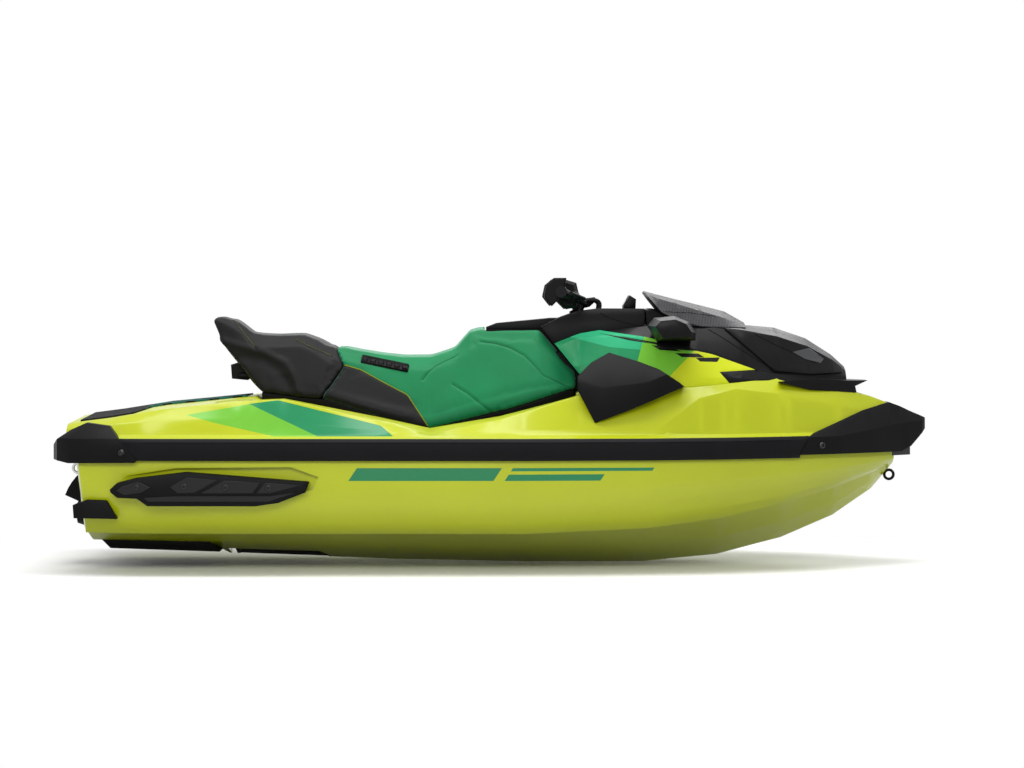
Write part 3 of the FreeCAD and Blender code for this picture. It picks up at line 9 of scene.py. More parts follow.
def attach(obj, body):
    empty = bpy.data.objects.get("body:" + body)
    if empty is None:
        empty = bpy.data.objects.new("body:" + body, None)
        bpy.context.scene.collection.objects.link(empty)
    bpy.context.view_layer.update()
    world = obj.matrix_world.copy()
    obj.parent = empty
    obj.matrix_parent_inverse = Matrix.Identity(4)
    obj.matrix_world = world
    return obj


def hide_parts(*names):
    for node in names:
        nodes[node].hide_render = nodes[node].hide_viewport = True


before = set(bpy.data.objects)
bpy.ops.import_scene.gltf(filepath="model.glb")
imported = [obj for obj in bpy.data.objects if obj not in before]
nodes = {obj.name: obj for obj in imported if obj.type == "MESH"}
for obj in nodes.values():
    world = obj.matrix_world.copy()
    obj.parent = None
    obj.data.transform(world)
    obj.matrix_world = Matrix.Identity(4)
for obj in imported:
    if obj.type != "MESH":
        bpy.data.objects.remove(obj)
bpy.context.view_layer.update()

# Camera
LENS = 108.7
CAMERA_PLACE = (0.0566, -11.996, 0.737)
CAMERA_TARGET = (0.0566, 0.0, 0.4229)
CAMERA_REACH = 200.0

# Floor, with a soft shade under the craft that fades between two shares of its reach
FLOOR_Z = -0.272
FLOOR_HALF = 30.0
FLOOR_WHITE = (0.93, 0.93, 0.93)
FLOOR_SHADE = (0.46, 0.46, 0.43)
SHADOW_REACH = (2.3, 1.1)
SHADOW_FADE = (0.75, 1.3)

# Light: the surroundings, and lamps with their place, target, size and power
WORLD_LEVEL = 0.55
LAMPS = [
    ("top_lamp", (0.0, -0.6, 4.2), (0.0, 0.0, 0.3), (5.0, 2.2), 220.0),
    ("front_lamp", (-1.0, -6.3, 2.7), (0.0, 0.0, 0.2), (5.0, 1.6), 190.0),
    ("rear_lamp", (1.0, 5.0, 3.4), (0.0, 0.0, 0.3), (5.0, 2.0), 90.0),
]

# Colours, as linear values
LIME = (0.47, 0.53, 0.010)
# The deck's lime is the hull's lime painted darker: painted shade over the whole deck
SHADED_DECK_LIME = (0.39, 0.44, 0.007)
LEAF = (0.13, 0.40, 0.028)
TEAL = (0.010, 0.20, 0.075)
# A paler teal for a painted highlight on the fairing's upper facet
PAINTED_HIGHLIGHT_TEAL = (0.022, 0.33, 0.15)
SEA = (0.010, 0.11, 0.085)
VINYL_GREEN = (0.005, 0.136, 0.048)
VINYL_SHEEN = (0.5, 1.0, 0.8)
VINYL_BLACK = (0.0065, 0.0065, 0.0065)
TRIM = (0.0045, 0.0045, 0.005)
RUBBER = (0.006, 0.006, 0.007)
FOAM = (0.008, 0.008, 0.009)
# A black darker than the trim, for painted shade in pressed lines
GROOVE = (0.0015, 0.0015, 0.0015)
THREAD = (0.17, 0.19, 0.015)
CAST = (0.30, 0.31, 0.32)
STEEL = (0.62, 0.62, 0.64)
GLASS = (0.010, 0.012, 0.014)
WEAVE_DARK = (0.003, 0.003, 0.004)
WEAVE_PALE = (0.050, 0.051, 0.053)

# The span that most values of a noise lie in, and the colour sockets of a mixing node
NOISE_SPAN = (0.3, 0.7)
MIX_FIRST, MIX_SECOND, MIX_RESULT = 6, 7, 2

# Painted areas seen from the side: outline in x and z, colour, and for some how far out they start
DECK_PAINT_INNER = 0.44
DECK_AREAS = [
    ([(-1.154, 0.321), (-0.916, 0.362), (-0.664, 0.244), (-0.826, 0.244), (-1.046, 0.292)], LEAF,
     DECK_PAINT_INNER),
    ([(-0.921, 0.362), (-0.814, 0.376), (-0.431, 0.282), (-0.383, 0.244), (-0.664, 0.244)], TEAL,
     DECK_PAINT_INNER),
    ([(1.520, 0.205), (1.680, 0.205), (1.680, 0.120), (1.520, 0.120)], TRIM),
]
HULL_AREAS = [
    ([(-0.516, 0.128), (0.020, 0.128), (-0.012, 0.080), (-0.548, 0.080)], TEAL),
    ([(0.060, 0.128), (0.585, 0.128), (0.577, 0.116), (0.052, 0.116)], TEAL),
    ([(0.045, 0.104), (0.400, 0.104), (0.384, 0.080), (0.029, 0.080)], TEAL),
]
FAIRING_AREAS = [
    ([(0.10, 0.70), (0.584, 0.70), (0.512, 0.460), (0.10, 0.30)], TEAL),
    # Painted highlight: paler teal on the fairing's upper facet
    ([(0.279, 0.608), (0.377, 0.640), (0.566, 0.610), (0.550, 0.560), (0.424, 0.571)], PAINTED_HIGHLIGHT_TEAL),
    ([(0.566, 0.640), (0.770, 0.580), (0.649, 0.460), (0.512, 0.460)], LEAF),
    ([(0.673, 0.548), (0.762, 0.546), (0.786, 0.531), (0.698, 0.533)], TRIM),
    ([(0.751, 0.530), (0.845, 0.531), (0.833, 0.514), (0.767, 0.516)], TRIM),
    ([(0.584, 0.578), (0.649, 0.571), (0.698, 0.554), (0.614, 0.560)], TRIM),
    ([(0.377, 0.625), (0.499, 0.596), (0.593, 0.582), (0.485, 0.607)], TRIM),
    ([(0.462, 0.613), (0.612, 0.578), (0.743, 0.559), (0.593, 0.590)], TRIM),
]
BODY_AREAS = [([(-0.2, 0.9), (0.60, 0.9), (0.60, 0.30), (-0.2, 0.30)], TRIM)]

# Grooves of the mats, stripes across one strip of them, and threads of the screen: waves in radians a metre
MAT_STRIP = [(-1.335, 0.45), (-0.95, 0.45), (-0.95, 0.30), (-1.335, 0.30)]
MAT_STRIPE_WAVE = 70.0
MAT_STRIPE_LEVEL = -0.3
MAT_GROOVE_WAVE = 260.0
SCREEN_THREAD_WAVE = 520.0

# Hard pieces: the angle above which an edge is sharp, and how much each piece's sharp edges are rounded
SHARP_ANGLE = math.radians(28.0)
WELD_PARTS = 40
EDGE_SEGMENTS = 2
EDGE_RADII = {
    "hull": 0.006, "deck": 0.008, "console_fairing": 0.003, "front_body": 0.003, "hood": 0.005,
    "knee_pod": 0.012, "mirror": 0.01, "bow_bumper": 0.006, "steering_cover": 0.006, "display": 0.004,
    "handlebar": 0.003, "stern_bumper": 0.006, "sponson": 0.004, "ride_plate": 0.003, "glovebox_lid": 0.004,
    "corner_guard": 0.004, "seat_pan": 0.004, "windshield": 0.002, "bow_blade": 0.002, "rail": 0.003,
}

# Seats: skin, how far a point may swell or sink, and the cloth run that swells them
SEAT_VOXEL = 0.009
SEAT_SHRINK = 0.004
SEAT_CAP = 0.009
SEAT_SINK = 0.001
CLOTH_PRESSURE = 4.0
CLOTH_QUALITY = 4
CLOTH_FRAMES = 20
ROUND_FACTOR = 0.5
ROUND_PASSES = 3

# Seams: depth and width, how many widths they reach, and how far sideways the skin has to look
SEAM_WIDTH = 0.005
SEAM_DEPTH = 0.0035
SEAM_REACH = 3
SEAM_FACING = 0.2
SEAM_STEP = 0.012
PANEL_SEAM = (SEAM_DEPTH * 0.7, SEAM_WIDTH * 0.7)
PANEL_RIDGE = (-SEAM_DEPTH, SEAM_WIDTH * 4)
TAIL_RIDGE = (-SEAM_DEPTH * 2, SEAM_WIDTH * 3)
TAIL_DIP = (SEAM_DEPTH * 2, SEAM_WIDTH * 4)
PIPING_RADIUS = 0.0022
PIPING_LIFT = 0.0006
# Darker vinyl tubes sunk along the seat's creases, as painted shade: their radius and sink
CREASE_SHADE_RADIUS = PIPING_RADIUS * 0.6
CREASE_SHADE_SINK = 0.0004
STITCH_LENGTH = 0.005
STITCH_STEP = 0.009
STITCH_RADIUS = 0.0008

# Lines on the seats, seen from the side: x and z
PANEL_LINE = [
    (-0.584, 0.500), (-0.522, 0.482), (-0.434, 0.434), (-0.342, 0.387), (-0.310, 0.339), (-0.262, 0.268),
]
PANEL_FLOOR_Z = 0.0
PANEL_END_REACH = 0.2
PANEL_FOLD = [(-0.652, 0.395), (-0.550, 0.365), (-0.433, 0.336), (-0.330, 0.312)]
RIDER_CREASES = [
    [(-0.285, 0.444), (-0.266, 0.470), (-0.237, 0.496), (-0.193, 0.518), (-0.153, 0.536)],
    [(-0.170, 0.428), (-0.111, 0.392), (-0.060, 0.352), (-0.020, 0.319)],
    [(-0.065, 0.590), (-0.008, 0.583), (0.048, 0.567), (0.105, 0.536), (0.148, 0.494), (0.176, 0.462),
     (0.238, 0.434), (0.290, 0.410)],
]
TAIL_SEAMS = [
    [(-1.020, 0.675), (-0.972, 0.616), (-0.925, 0.561)],
    [(-0.774, 0.594), (-0.730, 0.572), (-0.686, 0.554), (-0.632, 0.530)],
    [(-1.040, 0.556), (-0.974, 0.484), (-0.915, 0.410)],
]
TAIL_FOLD = [
    (-1.064, 0.595), (-0.991, 0.574), (-0.896, 0.550), (-0.808, 0.507), (-0.779, 0.463), (-0.757, 0.397),
]
TAIL_HOLLOW = [(-0.990, 0.530), (-0.896, 0.515), (-0.836, 0.478), (-0.800, 0.420)]

# Vents on the rider's seat: middle line, half height, cells along and up, and lifts off the skin
VENT_LINE = [(-0.522, 0.523), (-0.338, 0.486)]
VENT_HALF = 0.016
VENT_END_SHARE = 0.75
VENT_ALONG, VENT_UP = 48, 8
VENT_BLOCK_PITCH = 8
VENT_BLOCK_CELLS = range(2, 7)
VENT_BLOCK_MARGIN = 2
VENT_EDGE_LIFT = -0.001
VENT_RIM_LIFT = 0.0070
VENT_BLOCK_LIFT = 0.0065
VENT_FLOOR_LIFT = 0.0005

# Where lines that look for a surface start: beside, behind and below the craft
SIDE_START = 2.0
REAR_START = -3.0
BELOW_START = -2.0
BOTH_SIDES = (-1, 1)

# Screws: places in x and z, or in x and y below, and a profile in shares of radius and rise
SCREW_RADIUS = 0.013
SCREW_RISE = 0.007
SCREW_TURNS = 12
SCREW_RINGS = [(1.0, -0.2), (1.0, 0.3), (0.8, 0.8), (0.55, 1.0), (0.42, 1.0), (0.38, 0.3), (0.0, 0.3)]
SPONSON_SCREWS = [(-1.327, 0.057), (-1.151, 0.061), (-0.998, 0.058), (-0.840, 0.056)]
BUMPER_SCREWS = [(-1.385, 0.185), (1.227, 0.200)]
PLATE_SCREWS = [(-1.440, -0.105), (-1.440, 0.105), (-1.160, -0.105), (-1.160, 0.105)]

# Raised plates: outlines in x and z, or in y and z from behind, and rings in shares of rim and rise
PLATE_RISE = 0.003
PLATE_RIM = 0.003
PLATE_RINGS = [(0, -1.0), (0, 0.5), (1, 1.0)]
SPONSON_PLATES = [
    [(-1.400, 0.046), (-1.380, 0.062), (-1.318, 0.078), (-1.276, 0.057), (-1.310, 0.038), (-1.371, 0.030)],
    [(-1.203, 0.059), (-1.141, 0.095), (-1.025, 0.086), (-1.113, 0.038), (-1.174, 0.036)],
    [(-1.004, 0.083), (-0.870, 0.077), (-0.899, 0.036), (-1.090, 0.036)],
    [(-0.852, 0.075), (-0.722, 0.066), (-0.834, 0.036), (-0.885, 0.036)],
    [(-1.300, 0.020), (-1.283, 0.006), (-0.840, 0.006), (-0.735, 0.040), (-0.834, 0.026), (-1.180, 0.026)],
]
LAMP_OUTLINE = [(1.130, 0.549), (1.198, 0.563), (1.255, 0.522), (1.240, 0.506), (1.178, 0.522)]
DISPLAY_GLASS = [(-0.070, 0.728), (0.070, 0.728), (0.076, 0.748), (-0.076, 0.748)]
MIRROR_GLASS = [(0.275, 0.618), (0.395, 0.622), (0.405, 0.668), (0.285, 0.676)]

# Pressed lines on hard pieces, drawn as darker tubes of painted shade: x and z, radius, and how far the line
# lies under the surface
TUBE_ROUNDNESS = 2
LEAST_POINTS = 3
GROOVE_STEP = 0.02
GROOVE_SINK = 0.0004
HOOD_GROOVE_RADIUS = 0.0020
HOOD_LINES = [
    [(0.806, 0.636), (0.860, 0.604), (0.920, 0.565), (1.005, 0.511), (1.070, 0.480)],
    [(0.985, 0.618), (1.056, 0.582), (1.125, 0.551), (1.173, 0.524), (1.235, 0.503)],
]
CONSOLE_GROOVE_RADIUS = 0.0018
CONSOLE_LINE = [(0.394, 0.700), (0.417, 0.686), (0.480, 0.665), (0.548, 0.650), (0.570, 0.664)]
SCREEN_GROOVE_RADIUS = 0.0015
SCREEN_LINES = [[(0.640, 0.704), (0.743, 0.699), (0.852, 0.684)]]
RAIL_GROOVE_RADIUS = 0.0012
RAIL_STEP = 0.1
RAIL_Z = 0.222
RAIL_LINE = [(x, RAIL_Z) for x in (-1.40, -1.0, -0.5, 0.0, 0.5, 1.0, 1.12)]

# Mouldings: outline in x and z, middles in y, half width, edge radius and body
MOULDINGS = {
    "seat_front_seal": (
        [(0.238, 0.560), (0.286, 0.500), (0.327, 0.451), (0.357, 0.412), (0.366, 0.390),
         (0.294, 0.386), (0.294, 0.412), (0.296, 0.440), (0.266, 0.494), (0.222, 0.550)],
        (0,), 0.190, 0.002, "craft"),
    "dash_brow": (
        [(0.566, 0.712), (0.592, 0.718), (0.616, 0.708), (0.664, 0.684), (0.650, 0.655), (0.566, 0.640)],
        (0,), 0.165, 0.006, "craft"),
    "bar_riser": (
        [(0.318, 0.768), (0.258, 0.776), (0.248, 0.738), (0.266, 0.714), (0.300, 0.722), (0.330, 0.740)],
        (0,), 0.045, 0.008, "bars"),
    "palm_rests": (
        [(0.176, 0.762), (0.186, 0.808), (0.214, 0.832), (0.262, 0.832), (0.250, 0.780), (0.226, 0.744),
         (0.206, 0.724), (0.194, 0.738)],
        (-0.330, 0.330), 0.035, 0.008, "bars"),
    "handle_lugs": (
        [(-1.026, 0.500), (-1.022, 0.446), (-0.960, 0.440), (-0.945, 0.455), (-0.985, 0.512)],
        (-0.080, 0.080), 0.016, 0.004, "seat"),
}

# The mouldings' ends: shares of the half width, and of the outline there
MOULDING_RINGS = [(-1.0, 0.9), (-0.85, 1.0), (0.85, 1.0), (1.0, 0.9)]

# Guards round the steering column: a bent tube on each side, in x and z
GUARD_LOOP = [(0.322, 0.706), (0.330, 0.735), (0.345, 0.748), (0.386, 0.748), (0.397, 0.728), (0.389, 0.706)]
GUARD_RADIUS = 0.009
GUARD_ROUNDNESS = 3
GUARD_MIDDLES = (-0.085, 0.085)


def scaled(colour, share):
    return tuple(c * share for c in colour)


def both(*names):
    return [name + side for name in names for side in ("_starboard", "_port")]


def without_side(name):
    return name.removesuffix("_starboard").removesuffix("_port")


def middle_of(outline):
    return sum(x for x, z in outline) / len(outline), sum(z for x, z in outline) / len(outline)


def new_material(name):
    material = bpy.data.materials.new(name)
    material.use_nodes = True
    tree = material.node_tree
    place = tree.nodes.new("ShaderNodeTexCoord").outputs["Object"]
    return material, tree, tree.nodes["Principled BSDF"], place


def feed(tree, socket, value):
    """Links a socket to another one, or sets it to a number or a colour."""
    if isinstance(value, bpy.types.NodeSocket):
        tree.links.new(value, socket)
    elif isinstance(value, tuple) and len(value) == 3 and socket.type == "RGBA":
        socket.default_value = (*value, 1)
    else:
        socket.default_value = value


def calc(tree, operation, *values):
    node = tree.nodes.new("ShaderNodeMath")
    node.operation = operation
    for socket, value in zip(node.inputs, values):
        feed(tree, socket, value)
    return node.outputs[0]


def noise(tree, place, scale, detail):
    node = tree.nodes.new("ShaderNodeTexNoise")
    node.inputs["Scale"].default_value = scale
    node.inputs["Detail"].default_value = detail
    feed(tree, node.inputs["Vector"], place)
    return node.outputs["Fac"]


def cells(tree, place, scale):
    node = tree.nodes.new("ShaderNodeTexVoronoi")
    node.inputs["Scale"].default_value = scale
    feed(tree, node.inputs["Vector"], place)
    return node.outputs["Distance"]


def spread(tree, value, low, high, to_low=0.0, to_high=1.0):
    node = tree.nodes.new("ShaderNodeMapRange")
    feed(tree, node.inputs["Value"], value)
    for name, number in (("From Min", low), ("From Max", high), ("To Min", to_low), ("To Max", to_high)):
        node.inputs[name].default_value = number
    return node.outputs["Result"]


def blend(tree, share, first, second):
    node = tree.nodes.new("ShaderNodeMix")
    node.data_type = "RGBA"
    feed(tree, node.inputs["Factor"], share)
    feed(tree, node.inputs[MIX_FIRST], first)
    feed(tree, node.inputs[MIX_SECOND], second)
    return node.outputs[MIX_RESULT]


def relief(tree, shader, height, depth, under=None):
    """Bump on a shader, over an earlier bump where one is given."""
    node = tree.nodes.new("ShaderNodeBump")
    node.inputs["Distance"].default_value = depth
    feed(tree, node.inputs["Height"], height)
    if under is not None:
        tree.links.new(under, node.inputs["Normal"])
    tree.links.new(node.outputs["Normal"], shader.inputs["Normal"])
    return node.outputs["Normal"]


def along(tree, place, direction):
    node = tree.nodes.new("ShaderNodeVectorMath")
    node.operation = "DOT_PRODUCT"
    feed(tree, node.inputs[0], place)
    node.inputs[1].default_value = direction
    return node.outputs["Value"]


def waves(tree, place, direction, pitch):
    return calc(tree, "SINE", calc(tree, "MULTIPLY", along(tree, place, direction), pitch))


def stretched(tree, place, scale):
    node = tree.nodes.new("ShaderNodeMapping")
    node.inputs["Scale"].default_value = scale
    feed(tree, node.inputs["Vector"], place)
    return node.outputs[0]


def seen_plainly(tree):
    """Is 1 for what the camera sees itself, through glass or in a mirror, and 0 for stray light."""
    path = tree.nodes.new("ShaderNodeLightPath")
    seen = calc(tree, "MAXIMUM", path.outputs["Is Camera Ray"], path.outputs["Is Transmission Ray"])
    return calc(tree, "MAXIMUM", seen, path.outputs["Is Glossy Ray"])


def inside(tree, place, outline):
    """A mask that is 1 inside a convex outline of x and z, seen from the side."""
    middle_x, middle_z = middle_of(outline)
    depth = None
    for (x_a, z_a), (x_b, z_b) in zip(outline, outline[1:] + outline[:1]):
        across, up = z_a - z_b, x_b - x_a
        size = math.hypot(across, up)
        across, up = across / size, up / size
        if (middle_x - x_a) * across + (middle_z - z_a) * up < 0:
            across, up = -across, -up
        reach = calc(tree, "SUBTRACT", along(tree, place, (across, 0, up)), x_a * across + z_a * up)
        depth = reach if depth is None else calc(tree, "MINIMUM", depth, reach)
    return calc(tree, "GREATER_THAN", depth, 0.0)


def outer_sides(tree, place, mask, inner):
    """Keeps a mask to the parts that lie further out than inner, on both sides."""
    reach = calc(tree, "ABSOLUTE", along(tree, place, (0, 1, 0)))
    return calc(tree, "MULTIPLY", mask, calc(tree, "GREATER_THAN", reach, inner))


def gloss_paint(name, base, areas=(), coat=0.28, roughness=0.3, shine=0.35):
    """Gelcoat: a base colour with painted areas over it, each an outline from the side and a colour."""
    material, tree, shader, place = new_material(name)
    cloud = noise(tree, place, scale=1.6, detail=3.0)
    shade = blend(tree, spread(tree, cloud, low=0.35, high=0.65, to_high=0.5), base, scaled(base, 0.9))
    for outline, tint, *inner in areas:
        mask = inside(tree, place, outline)
        for reach in inner:
            mask = outer_sides(tree, place, mask, reach)
        shade = blend(tree, mask, shade, tint)
    feed(tree, shader.inputs["Base Color"], shade)
    speck = noise(tree, place, scale=900.0, detail=1.0)
    uneven = spread(tree, speck, *NOISE_SPAN, to_low=roughness * 0.85, to_high=roughness * 1.15)
    feed(tree, shader.inputs["Roughness"], uneven)
    shader.inputs["Coat Weight"].default_value = coat
    shader.inputs["Coat Roughness"].default_value = 0.14
    shader.inputs["Specular IOR Level"].default_value = shine
    relief(tree, shader, noise(tree, place, scale=220.0, detail=2.0), depth=0.00006)
    return material


def satin_plastic(name, base=TRIM, roughness=0.42, grain=420.0, depth=0.00012, coat=0.0, shine=0.065):
    """Moulded plastic, rubber or thread: a base with paler clouds under a fine grain."""
    material, tree, shader, place = new_material(name)
    shader.inputs["Specular IOR Level"].default_value = shine
    cloud = noise(tree, place, scale=7.0, detail=4.0)
    paler = tuple(c * 1.35 + 0.002 for c in base)
    feed(tree, shader.inputs["Base Color"], blend(tree, cloud, base, paler))
    uneven = spread(tree, cloud, *NOISE_SPAN, to_low=roughness - 0.05, to_high=roughness + 0.06)
    feed(tree, shader.inputs["Roughness"], uneven)
    shader.inputs["Coat Weight"].default_value = coat
    shader.inputs["Coat Roughness"].default_value = 0.12
    relief(tree, shader, cells(tree, place, grain), depth)
    return material


def vinyl(name, base, panels=(), sheen=0.02):
    """Marine vinyl: pebbled grain and shallow dents under a soft sheen."""
    material, tree, shader, place = new_material(name)
    cloud = noise(tree, place, scale=5.0, detail=4.0)
    shade = blend(tree, spread(tree, cloud, *NOISE_SPAN), base, scaled(base, 1.25))
    for outline, tint in panels:
        shade = blend(tree, inside(tree, place, outline), shade, tint)
    feed(tree, shader.inputs["Base Color"], shade)
    feed(tree, shader.inputs["Roughness"], spread(tree, cloud, *NOISE_SPAN, to_low=0.44, to_high=0.56))
    shader.inputs["Specular IOR Level"].default_value = 0.12
    shader.inputs["Sheen Weight"].default_value = sheen
    shader.inputs["Sheen Tint"].default_value = (*VINYL_SHEEN, 1.0)
    shader.inputs["Sheen Roughness"].default_value = 0.4
    pebbled = relief(tree, shader, cells(tree, place, scale=620.0), depth=0.00022)
    relief(tree, shader, noise(tree, place, scale=38.0, detail=3.0), depth=0.0006, under=pebbled)
    return material


def metal(name, base, roughness=0.32):
    material, tree, shader, place = new_material(name)
    cloud = noise(tree, place, scale=60.0, detail=5.0)
    feed(tree, shader.inputs["Base Color"], blend(tree, cloud, scaled(base, 0.85), base))
    uneven = spread(tree, cloud, *NOISE_SPAN, to_low=roughness * 0.8, to_high=roughness * 1.2)
    feed(tree, shader.inputs["Roughness"], uneven)
    shader.inputs["Metallic"].default_value = 1.0
    relief(tree, shader, noise(tree, place, scale=500.0, detail=2.0), depth=0.00015)
    return material


def foam_mat(name):
    """Deck foam with crossed grooves, and coloured stripes across a strip ahead of the stern pad."""
    material, tree, shader, place = new_material(name)
    cloud = noise(tree, place, scale=30.0, detail=4.0)
    shade = blend(tree, cloud, FOAM, scaled(FOAM, 1.8))
    slant = waves(tree, place, (1, 0.7, 0), MAT_STRIPE_WAVE)
    stripes = calc(tree, "GREATER_THAN", slant, MAT_STRIPE_LEVEL)
    shade = blend(tree, calc(tree, "MULTIPLY", inside(tree, place, MAT_STRIP), stripes), shade, SEA)
    feed(tree, shader.inputs["Base Color"], shade)
    shader.inputs["Roughness"].default_value = 0.85
    shader.inputs["Specular IOR Level"].default_value = 0.12
    porous = relief(tree, shader, cells(tree, place, scale=300.0), depth=0.0004)
    first = waves(tree, place, (1, 0.6, 0), MAT_GROOVE_WAVE)
    second = waves(tree, place, (1, -0.6, 0), MAT_GROOVE_WAVE)
    crossed = calc(tree, "MAXIMUM", first, second)
    groove = spread(tree, crossed, low=0.90, high=1.0, to_low=1.0, to_high=0.0)
    relief(tree, shader, groove, depth=0.0025, under=porous)
    return material


def dark_glass(name):
    material, tree, shader, place = new_material(name)
    cloud = noise(tree, place, scale=12.0, detail=2.0)
    feed(tree, shader.inputs["Base Color"], blend(tree, cloud, GLASS, scaled(GLASS, 1.6)))
    feed(tree, shader.inputs["Roughness"], spread(tree, cloud, *NOISE_SPAN, to_low=0.06, to_high=0.11))
    shader.inputs["Coat Weight"].default_value = 0.3
    return material


def weave(name):
    """Woven sheet under a clear coat, with slanted threads seen from the side."""
    material, tree, shader, place = new_material(name)
    first = waves(tree, place, (1, 0.6, 1), SCREEN_THREAD_WAVE)
    second = waves(tree, place, (1, -0.6, -1), SCREEN_THREAD_WAVE)
    check = calc(tree, "GREATER_THAN", calc(tree, "MULTIPLY", first, second), 0.0)
    feed(tree, shader.inputs["Base Color"], blend(tree, check, WEAVE_DARK, WEAVE_PALE))
    shader.inputs["Roughness"].default_value = 0.45
    shader.inputs["Specular IOR Level"].default_value = 0.10
    shader.inputs["Coat Weight"].default_value = 0.08
    shader.inputs["Coat Roughness"].default_value = 0.15
    relief(tree, shader, check, depth=0.0002)
    return material


def smooth(obj, radius):
    """Shades an object smooth below the sharp angle, and rounds its edges above it where a radius is given.
    """
    mesh = obj.data
    for face in mesh.polygons:
        face.use_smooth = True
    if "custom_normal" in mesh.attributes:
        mesh.attributes.remove(mesh.attributes["custom_normal"])
    if radius:
        weld = obj.modifiers.new("joined", "WELD")
        weld.merge_threshold = radius / WELD_PARTS
        bevel = obj.modifiers.new("rounded", "BEVEL")
        bevel.limit_method = "ANGLE"
        bevel.angle_limit = SHARP_ANGLE
        bevel.width = radius
        bevel.segments = EDGE_SEGMENTS
        bevel.harden_normals = False
    mesh.set_sharp_from_angle(angle=SHARP_ANGLE)


def paint(obj, material):
    obj.data.materials.clear()
    obj.data.materials.append(material)


def add_object(name, data, material, body):
    obj = bpy.data.objects.new(name, data)
    bpy.context.scene.collection.objects.link(obj)
    data.materials.append(material)
    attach(obj, body)
    return obj


def add_mesh(name, vertices, faces, material, body):
    mesh = bpy.data.meshes.new(name)
    mesh.from_pydata(vertices, [], faces)
    mesh.update()
    return add_object(name, mesh, material, body)


def new_tube(name, radius, roundness):
    curve = bpy.data.curves.new(name, "CURVE")
    curve.dimensions = "3D"
    curve.bevel_depth = radius
    curve.bevel_resolution = roundness
    return curve


def apply_modifiers(obj):
    dependencies = bpy.context.evaluated_depsgraph_get()
    mesh = bpy.data.meshes.new_from_object(obj.evaluated_get(dependencies))
    obj.modifiers.clear()
    obj.data = mesh


def copy_node(name, node):
    obj = bpy.data.objects.new(name, nodes[node].data.copy())
    bpy.context.scene.collection.objects.link(obj)
    return obj


def points_of(obj):
    return [vertex.co.copy() for vertex in obj.data.vertices]


def normals_of(obj):
    return [vertex.normal.copy() for vertex in obj.data.vertices]


def bands(first, rings, count):
    """Faces between closed rings of count points, each ring right after the one before."""
    faces = []
    for ring in range(rings - 1):
        low = first + ring * count
        for i in range(count):
            j = (i + 1) % count
            faces.append((low + i, low + j, low + count + j, low + count + i))
    return faces


def tidy(obj):
    """Joins doubled points and turns the faces outward."""
    form = bmesh.new()
    form.from_mesh(obj.data)
    bmesh.ops.remove_doubles(form, verts=form.verts, dist=1e-6)
    bmesh.ops.recalc_face_normals(form, faces=form.faces)
    form.to_mesh(obj.data)
    form.free()
    return obj


def cloth_run(obj):
    """Swells a pad by pressure from inside, and keeps every point within the cap."""
    start = points_of(obj)
    pressure = obj.modifiers.new("pressure", "CLOTH")
    settings = pressure.settings
    settings.use_pressure = True
    settings.uniform_pressure_force = CLOTH_PRESSURE
    settings.effector_weights.gravity = 0.0
    settings.quality = CLOTH_QUALITY
    pressure.collision_settings.use_collision = False
    scene = bpy.context.scene
    for number in range(1, CLOTH_FRAMES + 1):
        scene.frame_set(number)
    dependencies = bpy.context.evaluated_depsgraph_get()
    moved = points_of(obj.evaluated_get(dependencies))
    obj.modifiers.clear()
    scene.frame_set(1)
    for vertex, place, target in zip(obj.data.vertices, start, moved):
        shift = target - place
        if shift.length > SEAT_CAP:
            shift = shift.normalized() * SEAT_CAP
        vertex.co = place + shift


def inflate(obj):
    """Makes a soft pad of a seat's solid, which may swell up to the cap and hardly sinks."""
    skin = obj.modifiers.new("voxels", "REMESH")
    skin.mode = "VOXEL"
    skin.voxel_size = SEAT_VOXEL
    apply_modifiers(obj)
    start = points_of(obj)
    normals = normals_of(obj)
    for vertex, place, normal in zip(obj.data.vertices, start, normals):
        vertex.co = place - normal * SEAT_SHRINK
    cloth_run(obj)
    for vertex, place, normal in zip(obj.data.vertices, start, normals):
        sunk = (place - vertex.co).dot(normal)
        if sunk > SEAT_SINK:
            vertex.co += normal * (sunk - SEAT_SINK)
    round_off = obj.modifiers.new("round off", "SMOOTH")
    round_off.factor = ROUND_FACTOR
    round_off.iterations = ROUND_PASSES
    finer = obj.modifiers.new("finer", "SUBSURF")
    finer.levels = 1
    finer.render_levels = 1
    apply_modifiers(obj)


def line_distance(point_x, point_z, line):
    best = math.inf
    for (x_a, z_a), (x_b, z_b) in zip(line, line[1:]):
        run_x, run_z = x_b - x_a, z_b - z_a
        part = ((point_x - x_a) * run_x + (point_z - z_a) * run_z) / (run_x * run_x + run_z * run_z)
        part = min(1.0, max(0.0, part))
        best = min(best, math.hypot(point_x - x_a - part * run_x, point_z - z_a - part * run_z))
    return best


def sew(obj, lines, depth=SEAM_DEPTH, width=SEAM_WIDTH):
    """Pulls the skin in along lines seen from the side, or out where the depth is below zero."""
    mesh = obj.data
    normals = normals_of(obj)
    spans = []
    for line in lines:
        places = [x for x, z in line]
        spans.append((min(places) - width * SEAM_REACH, max(places) + width * SEAM_REACH))
    for vertex, normal in zip(mesh.vertices, normals):
        pull = 0.0
        if abs(normal.y) > SEAM_FACING:
            for line, (low, high) in zip(lines, spans):
                if low < vertex.co.x < high:
                    gap = line_distance(vertex.co.x, vertex.co.z, line)
                    pull = max(pull, math.exp(-(gap / width) ** 2))
        vertex.co -= normal * (pull * depth)
    for face in mesh.polygons:
        face.use_smooth = True
    mesh.update()


